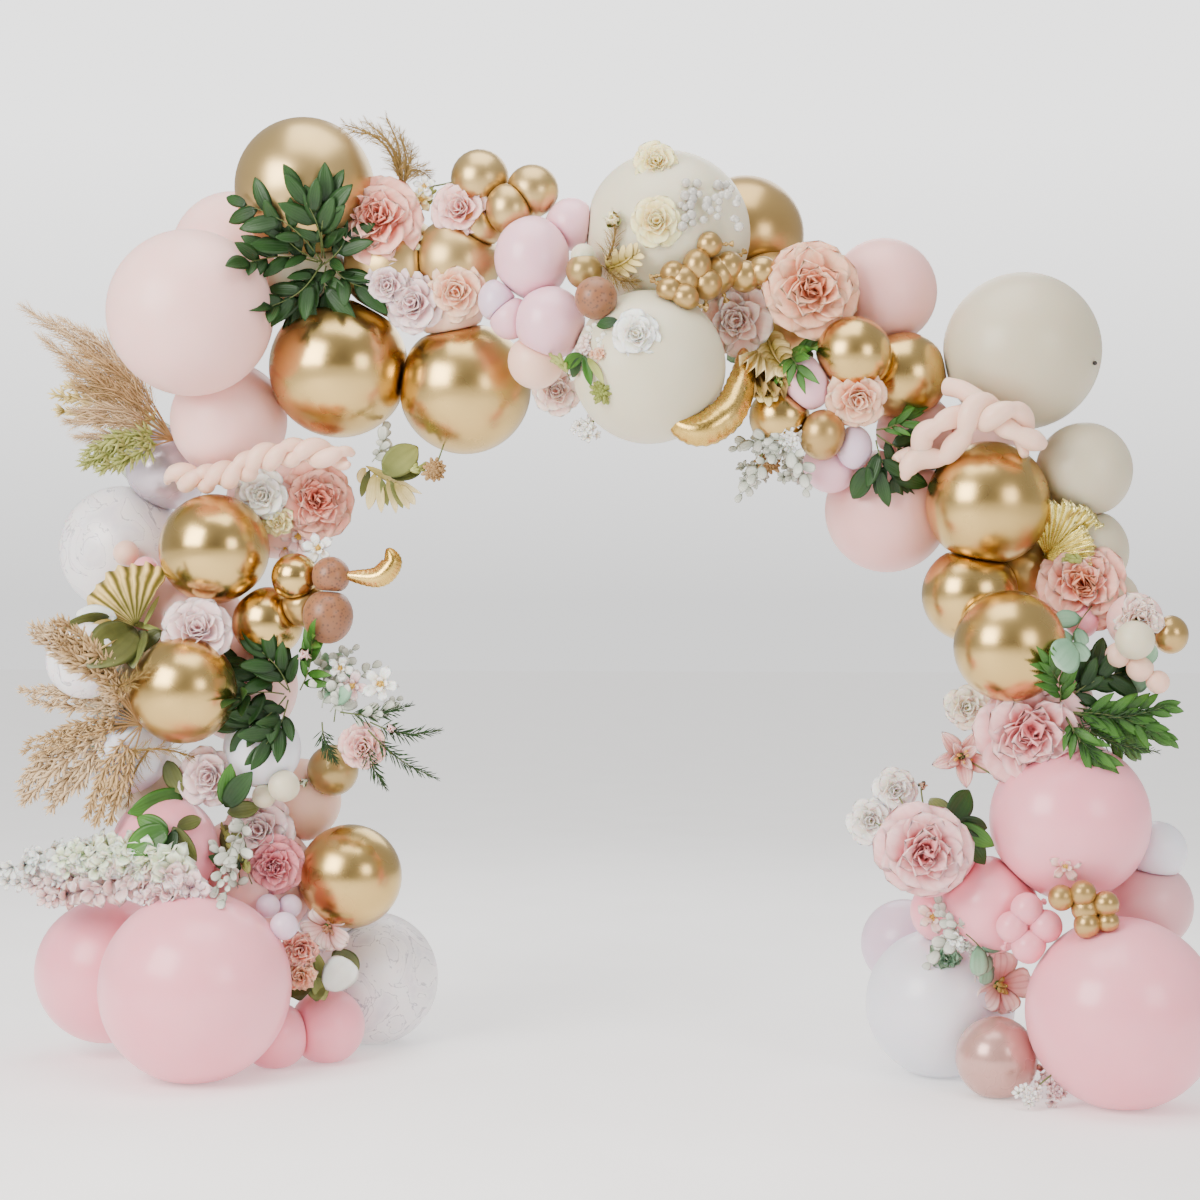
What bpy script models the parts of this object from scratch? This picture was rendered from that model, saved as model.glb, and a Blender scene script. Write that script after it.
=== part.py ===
"""Balloon arch: a free-standing garland of balloons, flowers, leaves and dried grasses.

The arch stands on its bottom balloons, runs along X and faces -Y. Metres, +Z up. Places are
measured on the face plane, square to the line of sight of somebody who stands in front of
the arch. Each piece then slides along that line until it presses on those already there.
"""

import math

import bmesh
import bpy
import numpy as np
from mathutils import Matrix, Vector

for old in list(bpy.data.objects):
    bpy.data.objects.remove(old, do_unlink=True)

# Driving dimensions
EYE_DISTANCE = 5.3       # from the onlooker to the middle of the arch
FACE_DISTANCE = 5.0      # from the onlooker to the face plane
EYE_HEIGHT = 1.14
EYE_TURN = math.radians(5.5)
PRESS = 0.022            # how far two round balloons press into each other
SAG = 0.007              # how far a foot balloon flattens on the floor
GAP = 0.0003             # air between two pieces that touch
CARVE_GAP = 0.0004       # air between a trimming and what it sits on
FLAT_ENOUGH = 0.05       # faces that turn less than this count as one when a body grows
LEAST_MOVE = 0.25        # of the gap, for the face that would move least
LONGEST_MOVE = 6.0       # gaps that a sharp corner moves at most
FOAM_PRESS = 0.012       # how far a flower sinks into what it sits on
FLOWER_SINK = 0.5        # share of a flower's radius that meets the balloons first
FLOWER_TURN = 1.4        # how much more a flower looks at the onlooker than off its balloon
FLOWERS_MEET = 0.8       # flowers closer than this share of their radii need no wire
OPEN_REACH = 1.07        # share of the way to the face where a body stops if nothing is there
LEAF_THICKNESS = 0.007
LEAF_CLEAR = 0.014       # radius of the space that a leaf keeps for itself
LEAF_SPREAD = 0.06       # how far leaves stand forward or back from their stalk
LEAF_WAIST = 0.42        # share of its length where a leaf is widest
LEAF_NOTCH = 0.02        # how deep the gaps between leaves go towards their stalk
STEM_RADIUS = 0.007
TRIM_LOWEST = 0.001      # height of the lowest flower above the floor
WIRE_RADIUS = 0.010
WIRE_CLEAR = 0.016       # radius of the space that a wire keeps for itself
WIRE_STEP = 0.07         # between two bends of a wire
WIRE_OFFSET = 0.004      # from a flower's heart to where its wires end
TINY_RADIUS = 0.05       # below this a ball has twenty faces
TINY_SWELL = 1.14        # makes a twenty-sided ball as big as the round one

# Sides round and from pole to pole of a ball, from this radius up
BALL_SIDES = [(0.19, (12, 6)), (0.15, (10, 5)), (0.08, (8, 4)), (0.0, (6, 4))]

TRIM_SHARES = (0.32, 0.35, 0.38, 0.42, 0.46, 0.5)  # of a trimming's triangles, first the fewest

# Colour, roughness and metallic value of each finish
FINISHES = {
    "gold": ((0.72, 0.47, 0.20), 0.22, 1.0),
    "matte_gold": ((0.60, 0.42, 0.20), 0.40, 0.6),
    "blush": ((0.86, 0.66, 0.64), 0.45, 0.0),
    "pink": ((0.88, 0.52, 0.58), 0.35, 0.0),
    "cream": ((0.78, 0.74, 0.64), 0.40, 0.0),
    "sand": ((0.66, 0.61, 0.50), 0.45, 0.0),
    "white": ((0.84, 0.86, 0.92), 0.40, 0.0),
    "lilac": ((0.80, 0.72, 0.80), 0.35, 0.0),
    "dusty_rose": ((0.62, 0.40, 0.38), 0.30, 0.2),
    "peach": ((0.88, 0.66, 0.56), 0.45, 0.0),
    "rose_foam": ((0.86, 0.62, 0.62), 0.80, 0.0),
    "cream_foam": ((0.88, 0.80, 0.64), 0.80, 0.0),
    "leaf": ((0.10, 0.24, 0.09), 0.55, 0.0),
    "gold_leaf": ((0.60, 0.50, 0.20), 0.40, 0.5),
    "straw": ((0.62, 0.50, 0.36), 0.90, 0.0),
}

turned = Matrix.Rotation(EYE_TURN, 3, "Z")
ACROSS = turned @ Vector((1, 0, 0))
FORWARD = turned @ Vector((0, 1, 0))
UP = Vector((0, 0, 1))
EYE = UP * EYE_HEIGHT - FORWARD * EYE_DISTANCE

# Balloons, in the order in which they are tied on: node, place across and up, radius, how it
# is put there, the depth where it stops, and its height over its width. "floor" rests it on
# the floor, "at" puts it at its depth, "in" pushes it in from the front and "out" from
# behind, until it meets a placed balloon or its depth.
BALLOONS = [
    # Feet
    ("pink_foot_balloon_left", (-0.911, 0.270), 0.216, "floor", 0.0, 1.0),
    ("white_foot_balloon_left", (-0.513, 0.289), 0.149, "floor", 0.0, 1.0),
    ("white_foot_balloon_right", (0.765, 0.233), 0.167, "floor", 0.0, 1.0),
    ("pink_foot_balloon_right", (1.174, 0.211), 0.216, "floor", 0.0, 1.0),
    ("dusty_rose_foot_balloon", (0.893, 0.110), 0.093, "floor", 0.0, 1.0),
    ("small_pink_foot_balloons", (-0.731, 0.159), 0.076, "floor", 0.0, 1.0),
    ("small_pink_foot_balloons", (-0.614, 0.181), 0.085, "floor", 0.0, 1.0),
    # Left leg
    ("pink_balloon_lower_left", (-0.979, 0.582), 0.120, "out", 0.00, 1.0),
    ("pink_rear_balloon_left", (-1.107, 0.307), 0.162, "out", 0.00, 1.0),
    ("white_and_peach_balloons", (-0.787, 0.510), 0.146, "out", 0.10, 1.0),
    ("white_and_peach_balloons", (-0.676, 0.690), 0.094, "out", 0.10, 1.0),
    ("white_and_peach_balloons", (-0.608, 0.471), 0.102, "at", 0.34, 1.0),
    ("gold_balloon_lower_left", (-0.562, 0.519), 0.117, "in", 0.20, 1.0),
    ("white_and_peach_balloons", (-0.601, 0.757), 0.058, "in", 0.20, 1.0),
    ("pale_balloons_left", (-1.012, 0.712), 0.094, "out", 0.02, 1.0),
    ("pale_balloons_left", (-1.069, 0.807), 0.104, "at", 0.02, 1.0),
    ("pale_balloons_left", (-1.082, 0.975), 0.112, "at", 0.05, 1.0),
    ("pale_balloons_left", (-0.935, 1.095), 0.130, "at", 0.16, 1.0),
    ("pale_balloons_left", (-0.805, 0.945), 0.125, "at", 0.15, 1.0),
    ("pale_balloons_left", (-0.760, 0.805), 0.088, "in", 0.05, 1.0),
    ("pale_balloons_left", (-1.159, 1.005), 0.087, "in", 0.05, 1.0),
    ("gold_balloon_left_3", (-0.938, 0.937), 0.121, "in", 0.05, 1.0),
    ("marbled_balloon_upper_left", (-1.073, 1.255), 0.142, "out", 0.08, 1.0),
    ("gold_balloon_left_2", (-0.868, 1.255), 0.124, "in", 0.05, 1.0),
    ("gold_and_terracotta_balls", (-0.747, 1.090), 0.080, "at", 0.05, 1.0),
    ("gold_and_terracotta_balls", (-0.686, 1.192), 0.054, "at", -0.02, 1.0),
    ("gold_and_terracotta_balls", (-0.664, 1.129), 0.052, "at", 0.01, 1.0),
    ("gold_and_terracotta_balls", (-0.606, 1.194), 0.044, "at", -0.04, 1.0),
    ("gold_and_terracotta_balls", (-0.612, 1.104), 0.060, "at", -0.04, 1.1),
    ("blush_balloons_left", (-0.720, 1.354), 0.122, "out", 0.08, 1.0),
    ("blush_balloons_left", (-0.835, 1.545), 0.131, "at", 0.12, 1.0),
    ("pearl_balloon_pair", (-0.972, 1.436), 0.094, "at", 0.24, 1.0),
    ("pearl_balloon_pair", (-1.012, 1.470), 0.078, "out", 0.10, 1.0),
    # Left shoulder
    ("gold_balloon_top", (-0.304, 1.617), 0.149, "at", 0.10, 1.0),
    ("gold_balloon_left_1", (-0.587, 1.662), 0.157, "at", 0.08, 1.0),
    ("blush_balloon_left_1", (-0.922, 1.786), 0.187, "in", 0.10, 1.0),
    ("blush_balloon_left_2", (-0.823, 1.918), 0.140, "out", 0.10, 1.0),
    ("gold_balloon_top_left", (-0.664, 2.067), 0.157, "in", 0.10, 1.0),
    ("gold_balloons_top_left", (-0.652, 1.860), 0.094, "at", 0.08, 1.0),
    ("gold_balloons_top_left", (-0.461, 1.890), 0.118, "at", 0.08, 1.0),
    ("gold_balloons_top_left", (-0.324, 1.900), 0.100, "at", 0.05, 1.0),
    ("gold_balloons_top_left", (-0.340, 1.800), 0.080, "at", 0.06, 1.0),
    ("gold_balloons_top_left", (-0.270, 1.984), 0.054, "at", 0.02, 1.0),
    ("gold_balloons_top_left", (-0.270, 2.088), 0.066, "at", 0.02, 1.0),
    ("gold_balloons_top_left", (-0.205, 2.020), 0.056, "at", -0.02, 1.1),
    ("gold_balloons_top_left", (-0.152, 2.060), 0.060, "at", 0.00, 1.0),
    # Top
    ("pink_balloons_top", (-0.153, 1.909), 0.090, "at", -0.05, 1.12),
    ("pink_balloons_top", (-0.065, 1.985), 0.060, "at", 0.00, 1.0),
    ("pink_balloons_top", (-0.144, 1.678), 0.064, "at", -0.06, 1.0),
    ("pink_balloons_top", (-0.112, 1.763), 0.082, "at", -0.09, 1.05),
    ("pink_balloons_top", (-0.200, 1.775), 0.050, "at", -0.06, 1.0),
    ("pink_balloons_top", (-0.232, 1.813), 0.046, "at", -0.06, 1.15),
    ("cream_balloon_top", (0.151, 1.963), 0.187, "at", 0.04, 1.0),
    ("cream_balloon_middle", (0.110, 1.664), 0.173, "in", 0.05, 1.0),
    ("matte_gold_balloons_top", (0.326, 1.961), 0.133, "at", 0.30, 1.0),
    ("matte_gold_balloons_top", (0.394, 1.800), 0.122, "at", 0.18, 1.0),
    ("matte_gold_balloons_top", (0.490, 1.815), 0.092, "at", 0.04, 1.0),
    ("gold_ball_cluster_top", (0.325, 1.868), 0.037, "at", -0.06, 1.0),
    ("gold_ball_cluster_top", (0.288, 1.890), 0.036, "at", -0.08, 1.0),
    ("gold_ball_cluster_top", (0.366, 1.880), 0.034, "at", -0.06, 1.0),
    ("gold_ball_cluster_top", (0.245, 1.940), 0.030, "at", -0.12, 1.0),
    ("gold_ball_cluster_top", (0.240, 1.850), 0.036, "at", -0.12, 1.0),
    ("gold_ball_cluster_top", (0.218, 1.892), 0.036, "at", -0.13, 1.2),
    ("gold_ball_cluster_top", (0.191, 1.820), 0.032, "at", -0.17, 1.0),
    ("gold_ball_cluster_top", (0.164, 1.876), 0.028, "at", -0.15, 1.0),
    ("gold_ball_cluster_top", (0.155, 1.837), 0.030, "at", -0.17, 1.0),
    ("gold_ball_cluster_top", (0.262, 1.872), 0.044, "at", -0.08, 1.0),
    ("gold_ball_cluster_top", (0.188, 1.858), 0.036, "at", -0.14, 1.0),
    # Right shoulder
    ("blush_balloon_right_1", (0.637, 1.833), 0.121, "at", 0.11, 1.0),
    ("right_shoulder_balloons", (0.682, 1.644), 0.100, "in", 0.06, 1.0),
    ("right_shoulder_balloons", (0.571, 1.693), 0.086, "at", -0.06, 1.0),
    ("right_shoulder_balloons", (0.466, 1.626), 0.060, "at", -0.06, 1.15),
    ("right_shoulder_balloons", (0.405, 1.552), 0.070, "at", -0.04, 1.0),
    ("right_shoulder_balloons", (0.500, 1.513), 0.056, "at", -0.06, 1.1),
    ("right_shoulder_balloons", (0.520, 1.444), 0.064, "at", 0.03, 1.0),
    ("right_shoulder_balloons", (0.571, 1.484), 0.046, "at", -0.03, 1.2),
    ("sand_balloon_right", (0.949, 1.700), 0.177, "at", 0.06, 1.0),
    ("blush_balloons_right", (0.709, 1.518), 0.088, "at", 0.12, 1.0),
    ("blush_balloons_right", (0.850, 1.504), 0.088, "at", 0.16, 1.0),
    ("blush_balloons_right", (0.646, 1.342), 0.140, "at", 0.14, 1.0),
    ("gold_balloon_right_1", (0.873, 1.358), 0.140, "in", 0.02, 1.0),
    # Right leg
    ("sand_balloons_right", (1.089, 1.432), 0.108, "out", 0.05, 1.0),
    ("sand_balloons_right", (1.091, 1.250), 0.098, "in", 0.08, 1.0),
    ("gold_balloon_pair_right", (0.945, 1.203), 0.096, "at", 0.14, 1.0),
    ("gold_balloon_pair_right", (0.832, 1.153), 0.108, "at", 0.02, 1.0),
    ("gold_balloon_right_2", (0.922, 1.036), 0.126, "at", -0.14, 1.0),
    ("sand_balloons_right", (1.147, 1.140), 0.066, "in", 0.06, 1.0),
    ("sand_balloons_right", (1.204, 1.093), 0.064, "in", 0.02, 1.0),
    ("sand_balloons_right", (1.284, 1.062), 0.042, "in", 0.00, 1.1),
    ("blush_balloon_right_3", (1.001, 0.905), 0.108, "at", -0.02, 1.0),
    ("pink_balloon_right", (1.057, 0.645), 0.180, "at", -0.06, 1.0),
    ("pink_and_lilac_balloons", (0.876, 0.454), 0.110, "at", -0.04, 1.0),
    ("pink_and_lilac_balloons", (0.742, 0.577), 0.106, "at", -0.06, 1.0),
    ("pink_and_lilac_balloons", (0.770, 0.440), 0.072, "at", 0.06, 1.0),
    ("lilac_balloon_right", (0.686, 0.368), 0.099, "out", 0.10, 1.0),
    ("dusty_pink_balloons_right", (1.233, 0.454), 0.101, "out", 0.02, 1.0),
    ("dusty_pink_balloons_right", (1.253, 0.575), 0.068, "at", 0.00, 1.0),
    ("pink_four_ball_flower", (0.961, 0.445), 0.037, "at", -0.17, 1.0),
    ("pink_four_ball_flower", (0.927, 0.404), 0.036, "at", -0.17, 1.0),
    ("pink_four_ball_flower", (1.003, 0.406), 0.038, "at", -0.17, 1.0),
    ("pink_four_ball_flower", (0.965, 0.361), 0.040, "at", -0.17, 1.0),
    ("gold_ball_cluster_right", (1.092, 0.445), 0.032, "at", -0.24, 1.0),
    ("gold_ball_cluster_right", (1.096, 0.409), 0.032, "at", -0.25, 1.1),
    ("gold_ball_cluster_right", (1.087, 0.480), 0.030, "at", -0.25, 1.0),
    ("gold_ball_cluster_right", (1.038, 0.470), 0.030, "at", -0.24, 1.0),
    ("gold_ball_cluster_right", (1.138, 0.456), 0.030, "at", -0.25, 1.0),
    ("gold_ball_cluster_right", (1.143, 0.415), 0.026, "at", -0.25, 1.0),
]

# Colour of each balloon node. Balloons that are tied together share one here.
BALLOON_FINISHES = {
    "pink_foot_balloon_left": "pink",
    "white_foot_balloon_left": "white",
    "white_foot_balloon_right": "white",
    "pink_foot_balloon_right": "pink",
    "dusty_rose_foot_balloon": "dusty_rose",
    "small_pink_foot_balloons": "pink",
    "pink_balloon_lower_left": "pink",
    "pink_rear_balloon_left": "pink",
    "white_and_peach_balloons": "peach",
    "pale_balloons_left": "white",
    "marbled_balloon_upper_left": "white",
    "blush_balloons_left": "blush",
    "pearl_balloon_pair": "lilac",
    "blush_balloon_left_1": "blush",
    "blush_balloon_left_2": "blush",
    "pink_balloons_top": "blush",
    "cream_balloon_top": "cream",
    "cream_balloon_middle": "cream",
    "matte_gold_balloons_top": "matte_gold",
    "blush_balloon_right_1": "blush",
    "sand_balloon_right": "sand",
    "blush_balloons_right": "blush",
    "sand_balloons_right": "sand",
    "blush_balloon_right_3": "blush",
    "pink_balloon_right": "pink",
    "pink_and_lilac_balloons": "pink",
    "lilac_balloon_right": "lilac",
    "dusty_pink_balloons_right": "pink",
    "pink_four_ball_flower": "pink",
}

# Braids of twisted modelling balloon: places and depth of the middle line, one end to the other
BRAID_RADIUS = 0.038
BRAID_STEP = 0.056       # from one lobe to the next
BRAID_SWING = 0.010      # how far the lobes swing up and down
BRAIDS = {
    "peach_braid_left": [
        ((-0.970, 1.420), 0.08), ((-0.900, 1.412), 0.02), ((-0.825, 1.428), -0.03),
        ((-0.750, 1.462), -0.06), ((-0.660, 1.474), -0.07), ((-0.560, 1.455), -0.07),
    ],
    "peach_braid_right": [
        ((0.680, 1.450), -0.04), ((0.735, 1.525), -0.05), ((0.795, 1.590), -0.08),
        ((0.865, 1.592), -0.12), ((0.935, 1.560), -0.13), ((0.985, 1.480), -0.10),
    ],
}

# Flowers and buds: place, radius
FLOWERS = {
    "flowers_top_left": ("rose_foam", [
        ((-0.506, 2.004), 0.100), ((-0.403, 2.042), 0.036), ((-0.322, 2.022), 0.061),
        ((-0.454, 1.895), 0.040), ((-0.434, 1.806), 0.068), ((-0.326, 1.835), 0.063),
    ]),
    "flowers_upper_left": ("rose_foam", [
        ((-0.763, 1.376), 0.060), ((-0.634, 1.365), 0.080), ((-0.729, 1.313), 0.036),
        ((-0.680, 1.284), 0.034), ((-0.634, 1.261), 0.029),
    ]),
    "rose_and_monstera_left": ("rose_foam", [((-0.907, 1.081), 0.080)]),
    "flowers_lower_left": ("rose_foam", [
        ((-0.884, 0.742), 0.068), ((-0.772, 0.622), 0.078), ((-0.734, 0.546), 0.062),
        ((-0.756, 0.449), 0.030), ((-0.702, 0.447), 0.030), ((-0.711, 0.404), 0.034),
        ((-0.616, 0.397), 0.060),
    ]),
    "leaf_bunch_left": ("leaf", [
        ((-0.664, 1.000), 0.042), ((-0.551, 0.955), 0.044), ((-0.495, 0.951), 0.032),
        ((-0.531, 0.814), 0.047), ((-0.468, 0.852), 0.032),
    ]),
    "flowers_top": ("cream_foam", [
        ((0.210, 2.035), 0.040), ((0.128, 2.121), 0.050), ((0.126, 1.995), 0.060),
        ((0.032, 2.006), 0.048), ((-0.036, 1.882), 0.048), ((-0.011, 1.817), 0.050),
        ((0.081, 1.738), 0.050), ((-0.020, 1.705), 0.040), ((-0.099, 1.610), 0.055),
        ((-0.034, 1.545), 0.034),
    ]),
    "flowers_top_right": ("rose_foam", [((0.302, 1.761), 0.080), ((0.479, 1.842), 0.102)]),
    "flowers_right_shoulder": ("rose_foam", [
        ((0.576, 1.585), 0.064), ((0.338, 1.466), 0.050), ((0.416, 1.470), 0.052),
        ((0.320, 1.405), 0.036), ((0.439, 1.412), 0.042),
    ]),
    "flowers_right_upper": ("rose_foam", [((1.085, 1.183), 0.090)]),
    "flowers_right_middle": ("rose_foam", [
        ((0.972, 0.836), 0.114), ((0.828, 0.897), 0.050), ((0.817, 0.787), 0.064),
    ]),
    "flowers_right_lower": ("rose_foam", [
        ((0.664, 0.710), 0.045), ((0.612, 0.643), 0.050), ((0.742, 0.559), 0.102),
        ((0.749, 0.427), 0.034), ((0.778, 0.345), 0.052), ((0.904, 0.271), 0.064),
    ]),
    "lilac_flowers_at_the_floor": ("lilac", [((0.985, 0.052), 0.054)]),
}

# Leaves: node, place of the base, places of the tips, width of a leaf
LEAVES = [
    ("flowers_top_left", (-0.630, 1.916), 0.055, [
        (-0.799, 2.042), (-0.776, 1.950), (-0.686, 2.101), (-0.634, 2.105), (-0.598, 2.062),
        (-0.736, 1.810), (-0.702, 1.788),
    ]),
    ("flowers_top_left", (-0.439, 2.062), 0.040, [
        (-0.574, 2.204), (-0.475, 2.227), (-0.392, 2.110),
    ]),
    ("flowers_upper_left", (-0.562, 1.400), 0.050, [
        (-0.529, 1.350), (-0.463, 1.336), (-0.405, 1.400), (-0.369, 1.432),
    ]),
    ("rose_and_monstera_left", (-0.990, 1.095), 0.070, [
        (-1.159, 1.174), (-1.102, 1.207), (-1.012, 1.196), (-1.174, 1.117), (-1.136, 1.050),
        (-1.069, 1.005),
    ]),
    ("flowers_lower_left", (-0.934, 0.656), 0.060, [
        (-0.988, 0.711), (-1.045, 0.604), (-0.960, 0.560), (-0.880, 0.560),
    ]),
    ("flowers_lower_left", (-0.616, 0.370), 0.060, [(-0.648, 0.262), (-0.574, 0.274)]),
    ("leaf_bunch_left", (-0.700, 0.930), 0.050, [
        (-0.810, 0.982), (-0.799, 0.847), (-0.743, 0.815), (-0.628, 0.818), (-0.430, 0.993),
        (-0.360, 0.814), (-0.378, 0.735), (-0.504, 0.721),
    ]),
    ("flowers_top", (0.020, 1.920), 0.040, [(0.032, 2.050), (0.060, 1.862)]),
    ("flowers_top_right", (0.394, 1.714), 0.055, [
        (0.338, 1.653), (0.383, 1.601), (0.461, 1.650),
    ]),
    ("flowers_right_shoulder", (0.630, 1.540), 0.045, [
        (0.709, 1.567), (0.709, 1.466), (0.686, 1.405), (0.600, 1.390),
    ]),
    ("flowers_right_upper", (1.040, 1.250), 0.060, [
        (0.990, 1.350), (1.049, 1.383), (1.107, 1.342),
    ]),
    ("flowers_right_upper", (1.110, 1.120), 0.050, [
        (1.069, 1.000), (1.238, 1.039), (1.222, 0.980), (1.271, 0.937),
    ]),
    ("flowers_right_middle", (1.062, 0.890), 0.050, [
        (1.278, 0.814), (1.278, 0.904), (1.148, 0.769), (1.215, 0.960), (1.193, 0.785),
    ]),
    ("flowers_right_lower", (0.800, 0.640), 0.050, [
        (0.844, 0.697), (0.889, 0.544), (0.870, 0.600),
    ]),
]

# Plumes of dried grass and of small flowers: node, base and its depth, tip and its depth, radius
PLUMES = [
    ("pampas_upper_left", (-0.960, 1.500), 0.10, (-1.283, 1.801), 0.04, 0.045),
    ("pampas_upper_left", (-0.960, 1.500), 0.10, (-1.181, 1.670), 0.00, 0.050),
    ("pampas_upper_left", (-0.960, 1.500), 0.10, (-1.190, 1.540), -0.02, 0.035),
    ("pampas_upper_left", (-0.960, 1.500), 0.10, (-1.150, 1.450), -0.04, 0.028),
    ("dried_grass_lower_left", (-1.030, 0.860), -0.086, (-1.262, 1.079), -0.30, 0.030),
    ("dried_grass_lower_left", (-1.030, 0.860), -0.08, (-1.294, 0.937), -0.14, 0.028),
    ("dried_grass_lower_left", (-1.030, 0.860), -0.08, (-1.289, 0.802), -0.14, 0.028),
    ("dried_grass_lower_left", (-1.030, 0.860), -0.08, (-1.294, 0.690), -0.12, 0.026),
    ("dried_grass_lower_left", (-1.030, 0.860), -0.08, (-1.130, 0.649), -0.12, 0.030),
    ("white_flower_spray", (-0.910, 0.500), -0.14, (-1.345, 0.537), -0.02, 0.052),
    ("flowers_lower_left", (-0.790, 0.640), 0.04, (-0.858, 0.470), -0.17, 0.028),
]

# Gold foil crescents: node, places with their depth from the free end to the held one, radius
CRESCENTS = [
    ("gold_and_terracotta_balls", [
        ((-0.468, 1.256), -0.05), ((-0.500, 1.190), -0.05), ((-0.600, 1.200), -0.05),
    ], 0.022),
    ("flowers_top_right", [
        ((0.165, 1.540), -0.16), ((0.270, 1.510), -0.16), ((0.345, 1.640), -0.09),
        ((0.330, 1.738), 0.038),
    ], 0.034),
]

placed = []              # every balloon so far, as dictionaries


def sightLine(across, height):
    """The step from the eye to a place on the face plane."""
    return FORWARD * FACE_DISTANCE + ACROSS * across + UP * (height - EYE_HEIGHT)


def reachOf(node, place, radius, how, depth):
    """How far along its line of sight a balloon goes, as a share of the way to the face."""
    line = sightLine(*place)
    if how == "floor":
        return (EYE_HEIGHT + SAG) / (radius - line.z)
    stops = [(depth - EYE.y) / line.y]
    if how == "at":
        return stops[0]
    for other in placed:
        span = EYE - other["centre"]
        press = PRESS if other["node"] != node else 1.5 * PRESS
        reach = other["radius"] - min(press, radius / 2)
        a = line.length_squared - radius**2
        b = span.dot(line) - radius * reach
        c = span.length_squared - reach**2
        if b * b > a * c:
            root = math.sqrt(b * b - a * c)
            stops.append((-b - root if how == "in" else -b + root) / a)
    return min(stops) if how == "in" else max(stops)


for node, place, radius, how, depth, oval in BALLOONS:
    reach = reachOf(node, place, radius, how, depth)
    centre = EYE + sightLine(*place) * reach
    placed.append({
        "node": node, "centre": centre, "radius": radius * reach, "oval": oval,
        "stands": how == "floor"})

# Meshes


def solid(mesh_builder):
    """A closed bmesh with its faces outwards."""
    shape = bmesh.new()
    mesh_builder(shape)
    bmesh.ops.recalc_face_normals(shape, faces=shape.faces)
    return shape


def roundness(segments):
    """What an inscribed polygon's radius is multiplied by to give it the circle's area."""
    turn = 2 * math.pi / segments
    return math.sqrt(turn / math.sin(turn))


def ball(centre, radius, oval=1.0):
    """A balloon with its poles along Y. Small ones have fewer sides."""
    segments, rings = next(sides for limit, sides in BALL_SIDES if radius >= limit)
    tiny = radius < TINY_RADIUS
    size = radius * (TINY_SWELL if tiny else roundness(segments))
    width = size / math.sqrt(oval)

    def build(shape):
        if tiny:
            bmesh.ops.create_icosphere(shape, subdivisions=1, radius=1.0)
        else:
            bmesh.ops.create_uvsphere(shape, u_segments=segments, v_segments=rings, radius=1.0)
        across = Matrix.Rotation(math.radians(90), 4, "X")
        turn = Matrix.Rotation(math.pi / segments, 4, "Y")
        grow = Matrix.Diagonal((width, size, width * oval, 1.0))
        place = Matrix.Translation(centre)
        bmesh.ops.transform(shape, matrix=place @ grow @ turn @ across, verts=shape.verts)

    return solid(build)


def cut(shape, point, normal):
    """Keep what lies behind the plane, and close the cut."""
    plane = bmesh.ops.bisect_plane(
        shape, geom=shape.verts[:] + shape.edges[:] + shape.faces[:], dist=1e-6,
        plane_co=point, plane_no=normal, clear_outer=True)
    edges = [item for item in plane["geom_cut"] if isinstance(item, bmesh.types.BMEdge)]
    if edges:
        bmesh.ops.contextual_create(shape, geom=edges)
    bmesh.ops.recalc_face_normals(shape, faces=shape.faces)


def reachAlong(shape, direction):
    return max(vert.co.dot(direction) for vert in shape.verts)


def pressed():
    """The balloons' meshes, each cut flat where it meets a neighbour of another node."""
    shapes = [ball(body["centre"], body["radius"], body["oval"]) for body in placed]
    for body, shape in zip(placed, shapes):
        if body["stands"]:
            drop = SAG + min(vert.co.z for vert in shape.verts)
            bmesh.ops.translate(shape, verts=shape.verts, vec=-UP * drop)
    for i, one in enumerate(placed):
        for j in range(i + 1, len(placed)):
            other = placed[j]
            apart = other["centre"] - one["centre"]
            if one["node"] == other["node"]:
                continue
            if apart.length > 1.2 * (one["radius"] + other["radius"]):
                continue
            way = apart.normalized()
            near = reachAlong(shapes[i], way)
            far = -reachAlong(shapes[j], -way)
            if near < far - GAP:
                continue
            share = other["radius"] / (one["radius"] + other["radius"])
            level = near - (near - far) * share
            cut(shapes[i], way * (level - GAP / 2), way)
            cut(shapes[j], way * (level + GAP / 2), -way)
    for body, shape in zip(placed, shapes):
        lowest = min(vert.co.z for vert in shape.verts)
        if lowest < 0:
            cut(shape, Vector((0, 0, 0)), Vector((0, 0, -1)))
    return shapes


def touch(place, radius, press, depth=None):
    """Where a small body meets the balloons on its way in, and the way off their surface."""
    line = sightLine(*place)
    best, against = None, None
    for other in placed:
        span = EYE - other["centre"]
        reach = other["radius"] - press
        a = line.length_squared - radius**2
        b = span.dot(line) - radius * reach
        c = span.length_squared - reach**2
        if b * b > a * c:
            stop = (-b - math.sqrt(b * b - a * c)) / a
            if best is None or stop < best:
                best, against = stop, other
    limit = None if depth is None else (depth - EYE.y) / line.y
    if best is None or (limit is not None and limit < best):
        return EYE + line * (limit if limit is not None else OPEN_REACH), -FORWARD
    centre = EYE + line * best
    return centre, (centre - against["centre"]).normalized()


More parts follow.
